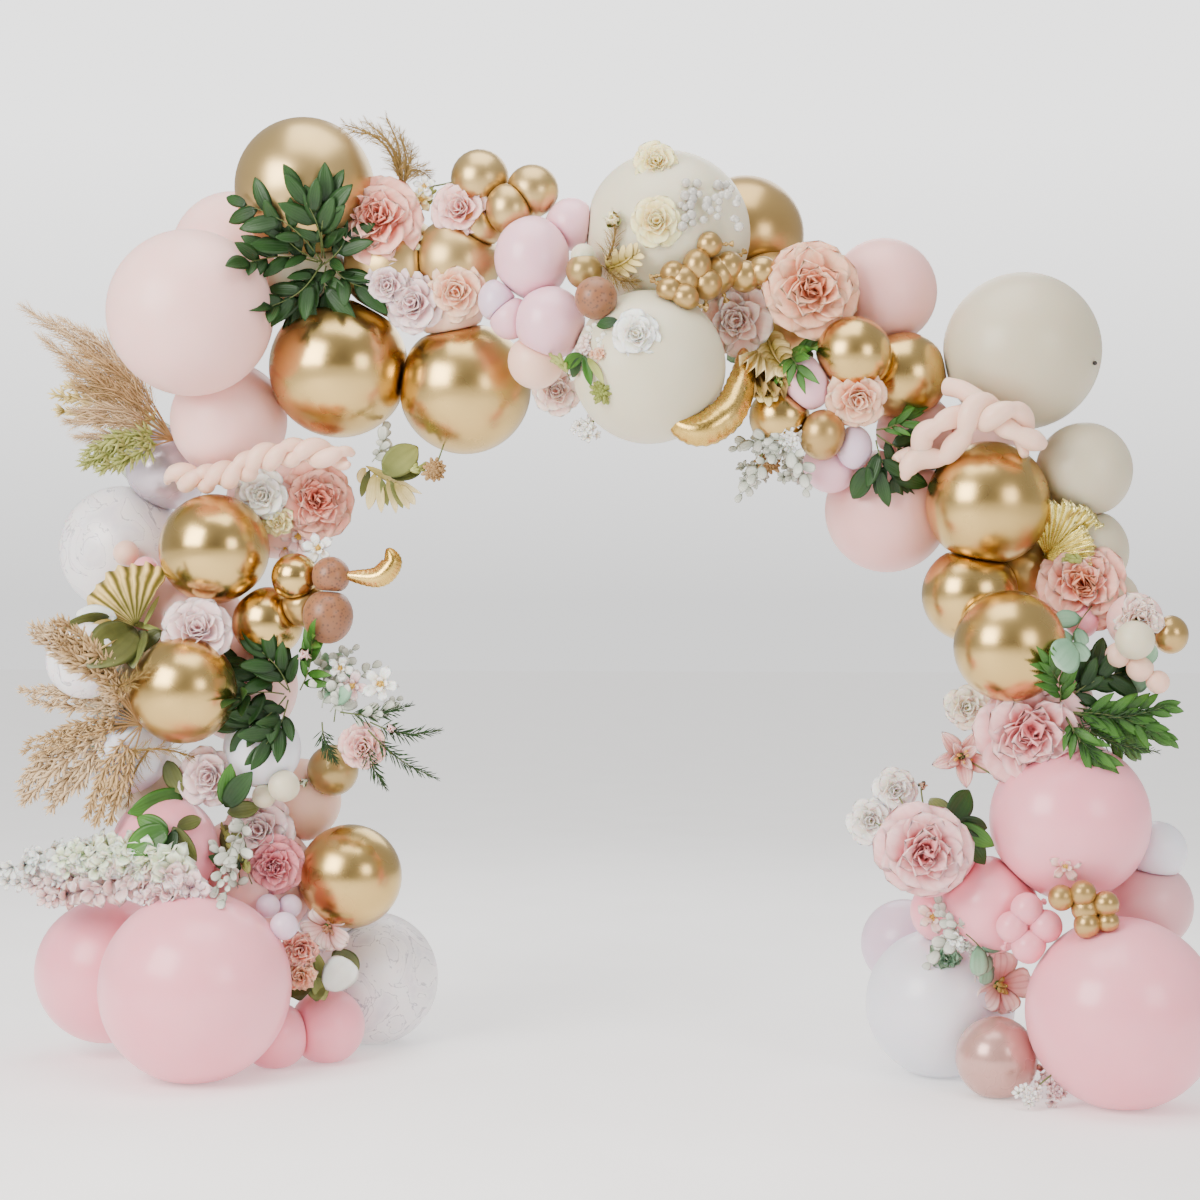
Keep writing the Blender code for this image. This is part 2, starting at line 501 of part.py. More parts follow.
def rosette(centre, facing, radius):
    """A flower: a base, a wide rim of petals, an inner lip and a hollow heart."""
    petals = 5 if radius > 0.09 else 4 if radius > 0.05 else 3
    tiers = [(0.45, -0.55, 0), (1.00, 0.05, 1), (0.58, 0.50, 0)]
    aim = facing.to_track_quat("Z", "Y").to_matrix().to_4x4()
    count = 2 * petals

    def build(shape):
        rings = []
        for level, (width, rise, lobed) in enumerate(tiers):
            ring = []
            for step in range(count):
                angle = 2 * math.pi * (step + 0.5 * level) / count
                reach = width * (1.04 if step % 2 or not lobed else 0.88)
                ring.append(shape.verts.new((
                    radius * reach * math.cos(angle), radius * reach * math.sin(angle), radius * rise)))
            rings.append(ring)
        for low, high in zip(rings, rings[1:]):
            for step in range(count):
                after = (step + 1) % count
                shape.faces.new((low[step], low[after], high[step]))
                shape.faces.new((low[after], high[after], high[step]))
        shape.faces.new(rings[0])
        heart = shape.verts.new((0, 0, radius * 0.34))
        for step in range(count):
            shape.faces.new((rings[-1][step], rings[-1][(step + 1) % count], heart))
        bmesh.ops.transform(shape, matrix=Matrix.Translation(centre) @ aim, verts=shape.verts)

    return solid(build)


def fan(base, tips, width):
    """Leaves that spread from one stalk: each widest at two fifths of its length."""
    side = FORWARD.cross(UP)

    def bearing(tip):
        step = tip - base
        return math.atan2(step.dot(UP), step.dot(side))

    order = sorted(tips, key=bearing)
    rim = []
    for index, tip in enumerate(order):
        after = order[(index + 1) % len(order)]
        along = tip - base
        edge = along.cross(FORWARD).normalized()
        turn = (bearing(after) - bearing(tip)) % (2 * math.pi)
        before = (bearing(tip) - bearing(order[index - 1])) % (2 * math.pi)
        if len(order) == 1:
            turn = before = math.pi
        waist = base + along * LEAF_WAIST
        flat = (along - FORWARD * along.dot(FORWARD)).length
        room = math.tan(min(turn, before, 2.0) / 2)
        half = min(width / 2, 0.85 * LEAF_WAIST * flat * room)
        rim += [waist - edge * half, tip, waist + edge * half]
        notch = bearing(tip) + turn / 2
        rim.append(base + (side * math.cos(notch) + UP * math.sin(notch)) * LEAF_NOTCH)

    def build(shape):
        front = shape.verts.new(base - FORWARD * LEAF_THICKNESS)
        back = shape.verts.new(base + FORWARD * LEAF_THICKNESS)
        corners = [shape.verts.new(point) for point in rim]
        for one, other in zip(corners, corners[1:] + corners[:1]):
            shape.faces.new((front, one, other))
            shape.faces.new((back, other, one))

    return solid(build)


def sweep(points, radii, sides):
    """A closed solid of round section along points."""

    def build(shape):
        rings = []
        for index, point in enumerate(points):
            before = points[max(index - 1, 0)]
            after = points[min(index + 1, len(points) - 1)]
            along = (after - before).normalized()
            side = along.cross(FORWARD).normalized()
            up = side.cross(along).normalized()
            ring = []
            for step in range(sides):
                angle = 2 * math.pi * step / sides
                spoke = side * math.cos(angle) + up * math.sin(angle)
                ring.append(shape.verts.new(point + spoke * radii[index]))
            rings.append(ring)
        for low, high in zip(rings, rings[1:]):
            for step in range(sides):
                after = (step + 1) % sides
                shape.faces.new((low[step], low[after], high[after], high[step]))
        shape.faces.new(rings[0])
        shape.faces.new(rings[-1])

    return solid(build)


def plume(base, tip, radius):
    """A feathery head that swells past its middle and droops at its tip."""
    steps = 4
    points, radii = [], []
    for step in range(steps + 1):
        share = step / steps
        point = base.lerp(tip, share)
        point.z += 0.10 * (tip - base).length * math.sin(math.pi * share)
        points.append(point)
        swell = math.sin(math.pi * (0.12 + 0.83 * share) ** 1.3)
        ripple = 1.0 + 0.18 * (-1) ** step
        radii.append(max(radius * swell * ripple, STEM_RADIUS))
    head = sweep(points, radii, 5)
    bmesh.ops.triangulate(head, faces=head.faces)
    return head


def smoothPoint(points, share):
    """A point of the smooth curve through hand-chosen points."""
    spans = len(points) - 1
    place = min(share * spans, spans - 1e-6)
    index = int(place)
    t = place - index
    p0 = points[max(index - 1, 0)]
    p1 = points[index]
    p2 = points[index + 1]
    p3 = points[min(index + 2, spans)]
    return 0.5 * (
        2 * p1 + (p2 - p0) * t + (2 * p0 - 5 * p1 + 4 * p2 - p3) * t**2
        + (3 * p1 - p0 - 3 * p2 + p3) * t**3)


def braid(rows):
    """Two strands that wind round each other, seen as a chain of lobes that swing side to side."""
    points = [spot(place, depth) for place, depth in rows]
    length = sum((b - a).length for a, b in zip(points, points[1:]))
    count = 2 * round(length / BRAID_STEP)
    spine, radii = [], []
    for step in range(count + 1):
        swing = math.sin(math.pi * step / 2 + math.pi / 4)
        spine.append(smoothPoint(points, step / count) + UP * BRAID_SWING * swing)
        radii.append(BRAID_RADIUS * (0.95 if step % 2 else 0.62))
    return [sweep(spine, radii, 5)]


def link(place, start, other, end):
    """A wire between two flowers that keeps just clear of the balloons on its way."""
    steps = max(2, math.ceil((end - start).length / WIRE_STEP))
    start = start + FORWARD * WIRE_OFFSET
    end = end - FORWARD * WIRE_OFFSET + UP * WIRE_OFFSET
    points = [start]
    for step in range(1, steps):
        share = step / steps
        halfway = (place[0] + (other[0] - place[0]) * share, place[1] + (other[1] - place[1]) * share)
        middle, _ = touch(halfway, WIRE_CLEAR, 0.0, start.y + (end.y - start.y) * share)
        points.append(middle)
    points.append(end)
    return sweep(points, [WIRE_RADIUS] * len(points), 3)


def spot(place, depth):
    line = sightLine(*place)
    return EYE + line * ((depth - EYE.y) / line.y)


def crescent(rows, radius):
    """A round horn of foil along a smooth curve, thickest in its middle."""
    points = [spot(place, depth) for place, depth in rows]
    steps = 6
    spine = [smoothPoint(points, step / steps) for step in range(steps + 1)]
    radii = [max(radius * math.sin(math.pi * (step + 0.4) / (steps + 0.8)), 0.006)
             for step in range(steps + 1)]
    return sweep(spine, radii, 5)


def toObject(name, shape):
    mesh = bpy.data.meshes.new(name)
    shape.to_mesh(mesh)
    item = bpy.data.objects.new(name, mesh)
    bpy.context.scene.collection.objects.link(item)
    return item


def joined(shapes):
    """Several bmeshes as one, still overlapping."""
    whole = bmesh.new()
    for shape in shapes:
        mesh = bpy.data.meshes.new("step")
        shape.to_mesh(mesh)
        whole.from_mesh(mesh)
        bpy.data.meshes.remove(mesh)
    return whole


def combine(operation, shape, shapes):
    """The union or difference of a shape and several others."""
    if not shapes:
        return shape
    base = toObject("base", shape)
    tool = toObject("tool", joined(shapes))
    step = base.modifiers.new("combine", "BOOLEAN")
    step.operation = operation
    step.solver = "EXACT"
    step.use_self = True
    step.object = tool
    view = bpy.context.evaluated_depsgraph_get()
    mesh = bpy.data.meshes.new_from_object(base.evaluated_get(view))
    result = bmesh.new()
    result.from_mesh(mesh)
    for item in (base, tool):
        bpy.data.objects.remove(item, do_unlink=True)
    bpy.data.meshes.remove(mesh)
    return result


def lightened(shape, share):
    """The same shape in flat triangles, about this share of them."""
    base = toObject("base", shape)
    step = base.modifiers.new("lighten", "DECIMATE")
    step.ratio = share
    view = bpy.context.evaluated_depsgraph_get()
    mesh = bpy.data.meshes.new_from_object(base.evaluated_get(view))
    result = bmesh.new()
    result.from_mesh(mesh)
    bmesh.ops.triangulate(result, faces=result.faces)
    bpy.data.objects.remove(base, do_unlink=True)
    bpy.data.meshes.remove(mesh)
    return result


def islands(shape):
    left = set(shape.faces)
    found = []
    while left:
        heap = [left.pop()]
        island = []
        while heap:
            face = heap.pop()
            island.append(face)
            for edge in face.edges:
                for near in edge.link_faces:
                    if near in left:
                        left.remove(near)
                        heap.append(near)
        found.append(island)
    return sorted(found, key=lambda island: -sum(face.calc_area() for face in island))


def tidy(shape):
    """Weld points that coincide and keep the largest body."""
    bmesh.ops.remove_doubles(shape, verts=shape.verts, dist=2e-6)
    bmesh.ops.dissolve_degenerate(shape, edges=shape.edges, dist=2e-6)
    parts = islands(shape)
    for island in parts[1:]:
        corners = {vert for face in island for vert in face.verts}
        bmesh.ops.delete(shape, geom=list(corners), context="VERTS")
    return shape


def carve(shape, blockers):
    """Take the blockers out of a shape, one after the other."""
    for blocker in blockers:
        shape = tidy(combine("DIFFERENCE", shape, [blocker]))
    return shape


def sound(shape):
    return all(len(edge.link_faces) == 2 for edge in shape.edges)


def grown(shape):
    """A copy with every face further out by the gap."""
    copy = shape.copy()
    bmesh.ops.recalc_face_normals(copy, faces=copy.faces)
    moves = []
    for vert in copy.verts:
        normals = np.array([face.normal for face in vert.link_faces])
        move = np.linalg.lstsq(normals, np.ones(len(normals)), rcond=FLAT_ENOUGH)[0]
        move /= max((normals @ move).min(), LEAST_MOVE)
        moves.append(Vector(move) * min(1.0, LONGEST_MOVE / np.linalg.norm(move)))
    for vert, move in zip(copy.verts, moves):
        vert.co += move * CARVE_GAP
    return copy


def box(shape):
    low = Vector((min(v.co.x for v in shape.verts), min(v.co.y for v in shape.verts),
                  min(v.co.z for v in shape.verts)))
    high = Vector((max(v.co.x for v in shape.verts), max(v.co.y for v in shape.verts),
                   max(v.co.z for v in shape.verts)))
    return low, high


def near(one, other):
    return all(one[0][k] < other[1][k] + 0.002 and other[0][k] < one[1][k] + 0.002 for k in range(3))


# Balloons

shapes = {}
for body, shape in zip(placed, pressed()):
    shapes.setdefault(body["node"], []).append(shape)
for node, rows, radius in CRESCENTS:
    if node in shapes:
        shapes[node].append(crescent(rows, radius))
nodes = {}
for node, parts in shapes.items():
    nodes[node] = tidy(combine("UNION", parts[0], parts[1:])) if len(parts) > 1 else parts[0]

# Trimmings
trims = {}
for node, rows in BRAIDS.items():
    trims[node] = braid(rows)
for node, (_, rows) in FLOWERS.items():
    hearts = []
    for place, radius in rows:
        centre, off = touch(place, radius * FLOWER_SINK, FOAM_PRESS)
        facing = (off - FLOWER_TURN * FORWARD).normalized()
        trims.setdefault(node, []).append(rosette(centre, facing, radius))
        hearts.append((place, centre))
    for (place, start), (other, end) in zip(hearts, hearts[1:]):
        reach = sum(radius for where, radius in rows if where in (place, other))
        if (end - start).length > FLOWERS_MEET * reach:
            trims[node].append(link(place, start, other, end))
for node, place, width, tips in LEAVES:
    base, _ = touch(place, LEAF_CLEAR, 0.0)
    closest, size = min(FLOWERS[node][1], key=lambda row: math.dist(row[0], place))
    heart, _ = touch(closest, size * FLOWER_SINK, FOAM_PRESS)
    if math.dist(closest, place) < FLOWERS_MEET * size:
        base = spot(place, heart.y)
    else:
        trims[node].append(link(closest, heart, place, base))
    ends = []
    for tip in tips:
        end, _ = touch(tip, LEAF_CLEAR, 0.0, base.y + LEAF_SPREAD)
        ends.append(end if end.y > base.y - LEAF_SPREAD else spot(tip, base.y - LEAF_SPREAD))
    trims[node].append(fan(base, ends, width))
for node, start, near_depth, end, far_depth, radius in PLUMES:
    trims.setdefault(node, []).append(plume(spot(start, near_depth), spot(end, far_depth), radius))
for node, rows, radius in CRESCENTS:
    if node in trims:
        trims[node].append(crescent(rows, radius))

done = [(shape, box(shape)) for parts in shapes.values() for shape in parts]
for node, parts in trims.items():
    whole = tidy(combine("UNION", parts[0], parts[1:]))
    limits = box(whole)
    blockers = [grown(other) for other, space in done if near(limits, space)]
    for share in TRIM_SHARES if len(parts) > 1 else (1.0,):
        carved = carve(lightened(whole, share), blockers)
        if sound(carved):
            break
    if box(carved)[0].z < TRIM_LOWEST:
        cut(carved, Vector((0, 0, TRIM_LOWEST)), Vector((0, 0, -1)))
    nodes[node] = carved
    done.append((carved, box(carved)))

low = Vector([min(box(shape)[0][k] for shape in nodes.values()) for k in range(3)])
high = Vector([max(box(shape)[1][k] for shape in nodes.values()) for k in range(3)])
shift = Vector(((low.x + high.x) / 2, (low.y + high.y) / 2, 0.0))


def material(name):
    colour, roughness, metallic = FINISHES[name]
    made = bpy.data.materials.new(name)
    made.use_nodes = True
    surface = made.node_tree.nodes["Principled BSDF"]
    surface.inputs["Base Color"].default_value = (*colour, 1.0)
    surface.inputs["Roughness"].default_value = roughness
    surface.inputs["Metallic"].default_value = metallic
    return made


def finishOf(node):
    if node in BALLOON_FINISHES:
        return BALLOON_FINISHES[node]
    if node in FLOWERS:
        return FLOWERS[node][0]
    if "braid" in node:
        return "peach"
    if "gold" in node or node == "right_shoulder_balloons":
        return "gold"
    return "straw"


for node, shape in nodes.items():
    lowest, highest = box(shape)
    middle = (lowest + highest) / 2
    bmesh.ops.translate(shape, verts=shape.verts, vec=-middle)
    mesh = bpy.data.meshes.new(node)
    shape.to_mesh(mesh)
    mesh.shade_smooth()
    mesh.set_sharp_from_angle(angle=math.radians(50))
    mesh.materials.append(material(finishOf(node)))
    item = bpy.data.objects.new(node, mesh)
    item.location = middle - shift
    bpy.context.scene.collection.objects.link(item)
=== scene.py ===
import functools
import math
import random

import bpy
import numpy as np
from mathutils import Matrix, Vector, noise


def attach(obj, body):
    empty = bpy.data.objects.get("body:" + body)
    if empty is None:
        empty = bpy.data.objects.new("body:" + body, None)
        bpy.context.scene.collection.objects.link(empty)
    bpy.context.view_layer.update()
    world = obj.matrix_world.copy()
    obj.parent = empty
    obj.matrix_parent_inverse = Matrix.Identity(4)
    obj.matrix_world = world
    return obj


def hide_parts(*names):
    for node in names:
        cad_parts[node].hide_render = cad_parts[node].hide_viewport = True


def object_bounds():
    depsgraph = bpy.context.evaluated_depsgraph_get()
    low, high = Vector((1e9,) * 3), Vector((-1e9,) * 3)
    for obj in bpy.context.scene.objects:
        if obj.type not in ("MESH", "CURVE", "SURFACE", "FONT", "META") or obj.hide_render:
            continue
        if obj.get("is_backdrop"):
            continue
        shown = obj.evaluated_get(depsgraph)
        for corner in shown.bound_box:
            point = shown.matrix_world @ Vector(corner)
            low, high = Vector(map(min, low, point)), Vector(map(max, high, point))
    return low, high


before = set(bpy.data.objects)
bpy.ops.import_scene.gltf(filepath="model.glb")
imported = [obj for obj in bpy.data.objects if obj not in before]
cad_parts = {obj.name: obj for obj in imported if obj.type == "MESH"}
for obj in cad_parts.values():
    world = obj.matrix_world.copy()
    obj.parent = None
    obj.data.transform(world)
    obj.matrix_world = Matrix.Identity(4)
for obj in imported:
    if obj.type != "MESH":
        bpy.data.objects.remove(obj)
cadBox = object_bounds()
print("frame loaded")

# Where the onlooker stands, how a place seen from there becomes metres on the face plane,
# and how far the finished arch is moved to stand over the origin
view = {
    "eyeDistance": 5.3,
    "faceDistance": 5.0,
    "eyeHeight": 1.14,
    "turn": math.radians(5.5),
    "lens": 66.66,
    "metresPerStep": 0.00225,
    "middle": 600.0,
    "floorRow": 1106.6,
    "moved": Vector((-0.02725, 0.07735, 0.0)),
}
turned = Matrix.Rotation(view["turn"], 3, "Z")
across = turned @ Vector((1, 0, 0))
forward = turned @ Vector((0, 1, 0))
up = Vector((0, 0, 1))
eye = up * view["eyeHeight"] - forward * view["eyeDistance"]
goldenTurn = 2.39996  # from each petal to the next where they never line up

# How balloons meet each other and the floor
touchRules = {
    "press": 0.022,      # how far two balloons press together
    "tiedPress": 1.5,    # and how many times that where they are tied together
    "sag": 0.007,        # how far a foot flattens on the floor
    "gap": 0.0003,
    "softness": 0.0035,  # rounding of the edge of a pressed face
    "foamPress": 0.012,
    "openReach": 1.07,   # how far along its line a thing is that meets nothing
}

# The tables are grouped by node. Balloons: place across and up, radius, how they are put
# there, depth, finish and, where they aren't round, height over width
balloons = [
    ("pink_foot_balloon_left", [(-0.911, 0.27, 0.216, "floor", 0, "softPink")]),
    ("white_foot_balloon_left", [(-0.513, 0.289, 0.149, "floor", 0, "marble")]),
    ("white_foot_balloon_right", [(0.765, 0.233, 0.167, "floor", 0, "white")]),
    ("pink_foot_balloon_right", [(1.174, 0.211, 0.216, "floor", 0, "softPink")]),
    ("dusty_rose_foot_balloon", [(0.893, 0.11, 0.093, "floor", 0, "dustyRose")]),
    ("small_pink_foot_balloons", [
        (-0.731, 0.159, 0.076, "floor", 0, "softPink"),
        (-0.614, 0.181, 0.085, "floor", 0, "softPink")]),
    ("pink_balloon_lower_left", [(-0.979, 0.582, 0.12, "out", 0, "softPink")]),
    ("pink_rear_balloon_left", [(-1.107, 0.307, 0.162, "out", 0, "softPink")]),
    ("white_and_peach_balloons", [
        (-0.787, 0.51, 0.146, "out", 0.1, "blush"), (-0.676, 0.69, 0.094, "out", 0.1, "peach"),
        (-0.608, 0.471, 0.102, "at", 0.34, "white")]),
    ("gold_balloon_lower_left", [(-0.562, 0.519, 0.117, "in", 0.2, "goldChrome")]),
    ("white_and_peach_balloons", [(-0.601, 0.757, 0.058, "in", 0.2, "oliveGold")]),
    ("pale_balloons_left", [
        (-1.012, 0.712, 0.094, "out", 0.02, "cream"),
        (-1.069, 0.807, 0.104, "at", 0.02, "white"), (-1.082, 0.975, 0.112, "at", 0.05, "sand"),
        (-0.935, 1.095, 0.13, "at", 0.16, "blush"), (-0.805, 0.945, 0.125, "at", 0.15, "blush"),
        (-0.76, 0.805, 0.088, "in", 0.05, "white"),
        (-1.159, 1.005, 0.087, "in", 0.05, "marble")]),
    ("gold_balloon_left_3", [(-0.938, 0.937, 0.121, "in", 0.05, "goldChrome")]),
    ("marbled_balloon_upper_left", [(-1.073, 1.255, 0.142, "out", 0.08, "marble")]),
    ("gold_balloon_left_2", [(-0.868, 1.255, 0.124, "in", 0.05, "goldChrome")]),
    ("gold_and_terracotta_balls", [
        (-0.747, 1.09, 0.08, "at", 0.05, "goldChrome"),
        (-0.686, 1.192, 0.054, "at", -0.02, "goldChrome"),
        (-0.664, 1.129, 0.052, "at", 0.01, "matteGold"),
        (-0.606, 1.194, 0.044, "at", -0.04, "terracotta"),
        (-0.612, 1.104, 0.06, "at", -0.04, "terracotta", 1.1)]),
    ("blush_balloons_left", [
        (-0.72, 1.354, 0.122, "out", 0.08, "blush"),
        (-0.835, 1.545, 0.131, "at", 0.12, "blush")]),
    ("pearl_balloon_pair", [
        (-0.972, 1.436, 0.094, "at", 0.24, "lilacPearl"),
        (-1.012, 1.47, 0.078, "out", 0.1, "sagePearl")]),
    ("gold_balloon_top", [(-0.304, 1.617, 0.149, "at", 0.1, "goldChrome")]),
    ("gold_balloon_left_1", [(-0.587, 1.662, 0.157, "at", 0.08, "goldChrome")]),
    ("blush_balloon_left_1", [(-0.922, 1.786, 0.187, "in", 0.1, "blush")]),
    ("blush_balloon_left_2", [(-0.823, 1.918, 0.14, "out", 0.1, "blush")]),
    ("gold_balloon_top_left", [(-0.664, 2.067, 0.157, "in", 0.1, "pearlGold")]),
    ("gold_balloons_top_left", [
        (-0.652, 1.86, 0.094, "at", 0.08, "cream"),
        (-0.461, 1.89, 0.118, "at", 0.08, "pearlGold"),
        (-0.324, 1.9, 0.1, "at", 0.05, "pearlGold"), (-0.34, 1.8, 0.08, "at", 0.06, "peach"),
        (-0.27, 1.984, 0.054, "at", 0.02, "pearlGold"),
        (-0.27, 2.088, 0.066, "at", 0.02, "pearlGold"),
        (-0.205, 2.02, 0.056, "at", -0.02, "pearlGold", 1.1),
        (-0.152, 2.06, 0.06, "at", 0, "pearlGold")]),
    ("pink_balloons_top", [
        (-0.153, 1.909, 0.09, "at", -0.05, "mauvePink", 1.12),
        (-0.065, 1.985, 0.06, "at", 0, "mauvePink"),
        (-0.144, 1.678, 0.064, "at", -0.06, "peach"),
        (-0.112, 1.763, 0.082, "at", -0.09, "mauvePink", 1.05),
        (-0.2, 1.775, 0.05, "at", -0.06, "mauvePink"),
        (-0.232, 1.813, 0.046, "at", -0.06, "lilac", 1.15)]),
    ("cream_balloon_top", [(0.151, 1.963, 0.187, "at", 0.04, "cream")]),
    ("cream_balloon_middle", [(0.11, 1.664, 0.173, "in", 0.05, "cream")]),
    ("matte_gold_balloons_top", [
        (0.326, 1.961, 0.133, "at", 0.3, "matteGold"),
        (0.394, 1.8, 0.122, "at", 0.18, "matteGold"),
        (0.49, 1.815, 0.092, "at", 0.04, "matteGold")]),
    ("gold_ball_cluster_top", [
        (0.325, 1.868, 0.037, "at", -0.06, "matteGold"),
        (0.288, 1.89, 0.036, "at", -0.08, "matteGold"),
        (0.366, 1.88, 0.034, "at", -0.06, "matteGold"),
        (0.245, 1.94, 0.03, "at", -0.12, "matteGold"),
        (0.24, 1.85, 0.036, "at", -0.12, "matteGold"),
        (0.218, 1.892, 0.036, "at", -0.13, "matteGold", 1.2),
        (0.191, 1.82, 0.032, "at", -0.17, "matteGold"),
        (0.164, 1.876, 0.028, "at", -0.15, "matteGold"),
        (0.155, 1.837, 0.03, "at", -0.17, "matteGold"),
        (0.262, 1.872, 0.044, "at", -0.08, "matteGold"),
        (0.188, 1.858, 0.036, "at", -0.14, "matteGold")]),
    ("blush_balloon_right_1", [(0.637, 1.833, 0.121, "at", 0.11, "rosePink")]),
    ("right_shoulder_balloons", [
        (0.682, 1.644, 0.1, "in", 0.06, "goldChrome"),
        (0.571, 1.693, 0.086, "at", -0.06, "goldChrome"),
        (0.466, 1.626, 0.06, "at", -0.06, "mauvePink", 1.15),
        (0.405, 1.552, 0.07, "at", -0.04, "goldChrome"),
        (0.5, 1.513, 0.056, "at", -0.06, "matteGold", 1.1),
        (0.52, 1.444, 0.064, "at", 0.03, "mauvePink"),
        (0.571, 1.484, 0.046, "at", -0.03, "lilac", 1.2)]),
    ("sand_balloon_right", [(0.949, 1.7, 0.177, "at", 0.06, "sand")]),
    ("blush_balloons_right", [
        (0.709, 1.518, 0.088, "at", 0.12, "rosePink"), (0.85, 1.504, 0.088, "at", 0.16, "blush"),
        (0.646, 1.342, 0.14, "at", 0.14, "rosePink")]),
    ("gold_balloon_right_1", [(0.873, 1.358, 0.14, "in", 0.02, "goldChrome")]),
    ("sand_balloons_right", [
        (1.089, 1.432, 0.108, "out", 0.05, "sand"), (1.091, 1.25, 0.098, "in", 0.08, "sand")]),
    ("gold_balloon_pair_right", [
        (0.945, 1.203, 0.096, "at", 0.14, "matteGold"),
        (0.832, 1.153, 0.108, "at", 0.02, "goldChrome")]),
    ("gold_balloon_right_2", [(0.922, 1.036, 0.126, "at", -0.14, "goldChrome")]),
    ("sand_balloons_right", [
        (1.147, 1.14, 0.066, "in", 0.06, "sand"), (1.204, 1.093, 0.064, "in", 0.02, "blush"),
        (1.284, 1.062, 0.042, "in", 0, "matteGold", 1.1)]),
    ("blush_balloon_right_3", [(1.001, 0.905, 0.108, "at", -0.02, "blush")]),
    ("pink_balloon_right", [(1.057, 0.645, 0.18, "at", -0.06, "softPink")]),
    ("pink_and_lilac_balloons", [
        (0.876, 0.454, 0.11, "at", -0.04, "softPink"),
        (0.742, 0.577, 0.106, "at", -0.06, "softPink"),
        (0.77, 0.44, 0.072, "at", 0.06, "softPink")]),
    ("lilac_balloon_right", [(0.686, 0.368, 0.099, "out", 0.1, "lilac")]),
    ("dusty_pink_balloons_right", [
        (1.233, 0.454, 0.101, "out", 0.02, "dustyPink"),
        (1.253, 0.575, 0.068, "at", 0, "white")]),
    ("pink_four_ball_flower", [
        (0.961, 0.445, 0.037, "at", -0.17, "softPink"),
        (0.927, 0.404, 0.036, "at", -0.17, "softPink"),
        (1.003, 0.406, 0.038, "at", -0.17, "softPink"),
        (0.965, 0.361, 0.04, "at", -0.17, "softPink")]),
    ("gold_ball_cluster_right", [
        (1.092, 0.445, 0.032, "at", -0.24, "matteGold"),
        (1.096, 0.409, 0.032, "at", -0.25, "matteGold", 1.1),
        (1.087, 0.48, 0.03, "at", -0.25, "matteGold"),
        (1.038, 0.47, 0.03, "at", -0.24, "matteGold"),
        (1.138, 0.456, 0.03, "at", -0.25, "matteGold"),
        (1.143, 0.415, 0.026, "at", -0.25, "matteGold")]),
]


def eachRow(table):
    # the rows of a grouped table, each with what its group is named by in front
    for *group, rows in table:
        for row in rows:
            yield *group, *row


def sightLine(x, z):
    return forward * view["faceDistance"] + across * x + up * (z - view["eyeHeight"])


def onFace(u, v):
    # a place in the photograph, as metres across and up on the face plane
    return ((u - view["middle"]) * view["metresPerStep"],
            (view["floorRow"] - v) * view["metresPerStep"])


def spot(place, depth):
    line = sightLine(*place)
    return eye + line * ((depth - eye.y) / line.y)


def stopsAlong(line, radius, other, press):
    # where a ball that slides along the line meets another one: on its near and far side
    span = eye - other["centre"]
    reach = other["radius"] - press
    a = line.length_squared - radius**2
    b = span.dot(line) - radius * reach
    c = span.length_squared - reach**2
    if b * b <= a * c:
        return None
    root = math.sqrt(b * b - a * c)
    return (-b - root) / a, (-b + root) / a


placed = []


def settle(node, x, z, radius, how, depth, finish, oval=1.0):
    line = sightLine(x, z)
    if how == "floor":
        reach = (view["eyeHeight"] + touchRules["sag"]) / (radius - line.z)
    else:
        stops = [(depth - eye.y) / line.y]
        for other in placed:
            tied = touchRules["tiedPress"] if other["node"] == node else 1.0
            found = stopsAlong(line, radius, other, min(touchRules["press"] * tied, radius / 2))
            if found and how != "at":
                stops.append(found[0] if how == "in" else found[1])
        reach = min(stops) if how == "in" else max(stops)
    placed.append({"node": node, "centre": eye + line * reach, "radius": radius * reach,
                   "oval": oval, "finish": finish})


for row in eachRow(balloons):
    settle(*row)
print("balloons placed", len(placed))


def touch(place, radius, press, depth=None):
    # where a small body meets the balloons on its way in, and the way off their surface
    line = sightLine(*place)
    best, against = None, None
    for other in placed:
        found = stopsAlong(line, radius, other, press)
        if found and (best is None or found[0] < best):
            best, against = found[0], other
    limit = None if depth is None else (depth - eye.y) / line.y
    if best is None or (limit is not None and limit < best):
        return eye + line * (limit if limit is not None else touchRules["openReach"]), -forward
    centre = eye + line * best
    return centre, (centre - against["centre"]).normalized()


# Finishes

def put(tree, kind, inputs=None, **settings):
    node = tree.nodes.new(kind)
    for key, value in settings.items():
        setattr(node, key, value)
    for key, value in (inputs or {}).items():
        if isinstance(value, bpy.types.NodeSocket):
            tree.links.new(value, node.inputs[key])
        else:
            node.inputs[key].default_value = value
    return node


def maths(tree, operation, *values):
    return put(tree, "ShaderNodeMath", dict(enumerate(values)), operation=operation).outputs[0]


def mixColour(tree, share, one, two):
    return put(tree, "ShaderNodeMix", {0: share, 6: one, 7: two}, data_type="RGBA").outputs[2]


def spread(tree, value, low, high, toLow=0.0, toHigh=1.0):
    return put(tree, "ShaderNodeMapRange", {
        0: value, 1: low, 2: high, 3: toLow, 4: toHigh}, clamp=True).outputs[0]


def texture(tree, kind, where, scale, **values):
    given = {"Vector": where, "Scale": scale}
    given.update({label.capitalize(): value for label, value in values.items()})
    return put(tree, "ShaderNodeTex" + kind, given).outputs[0]


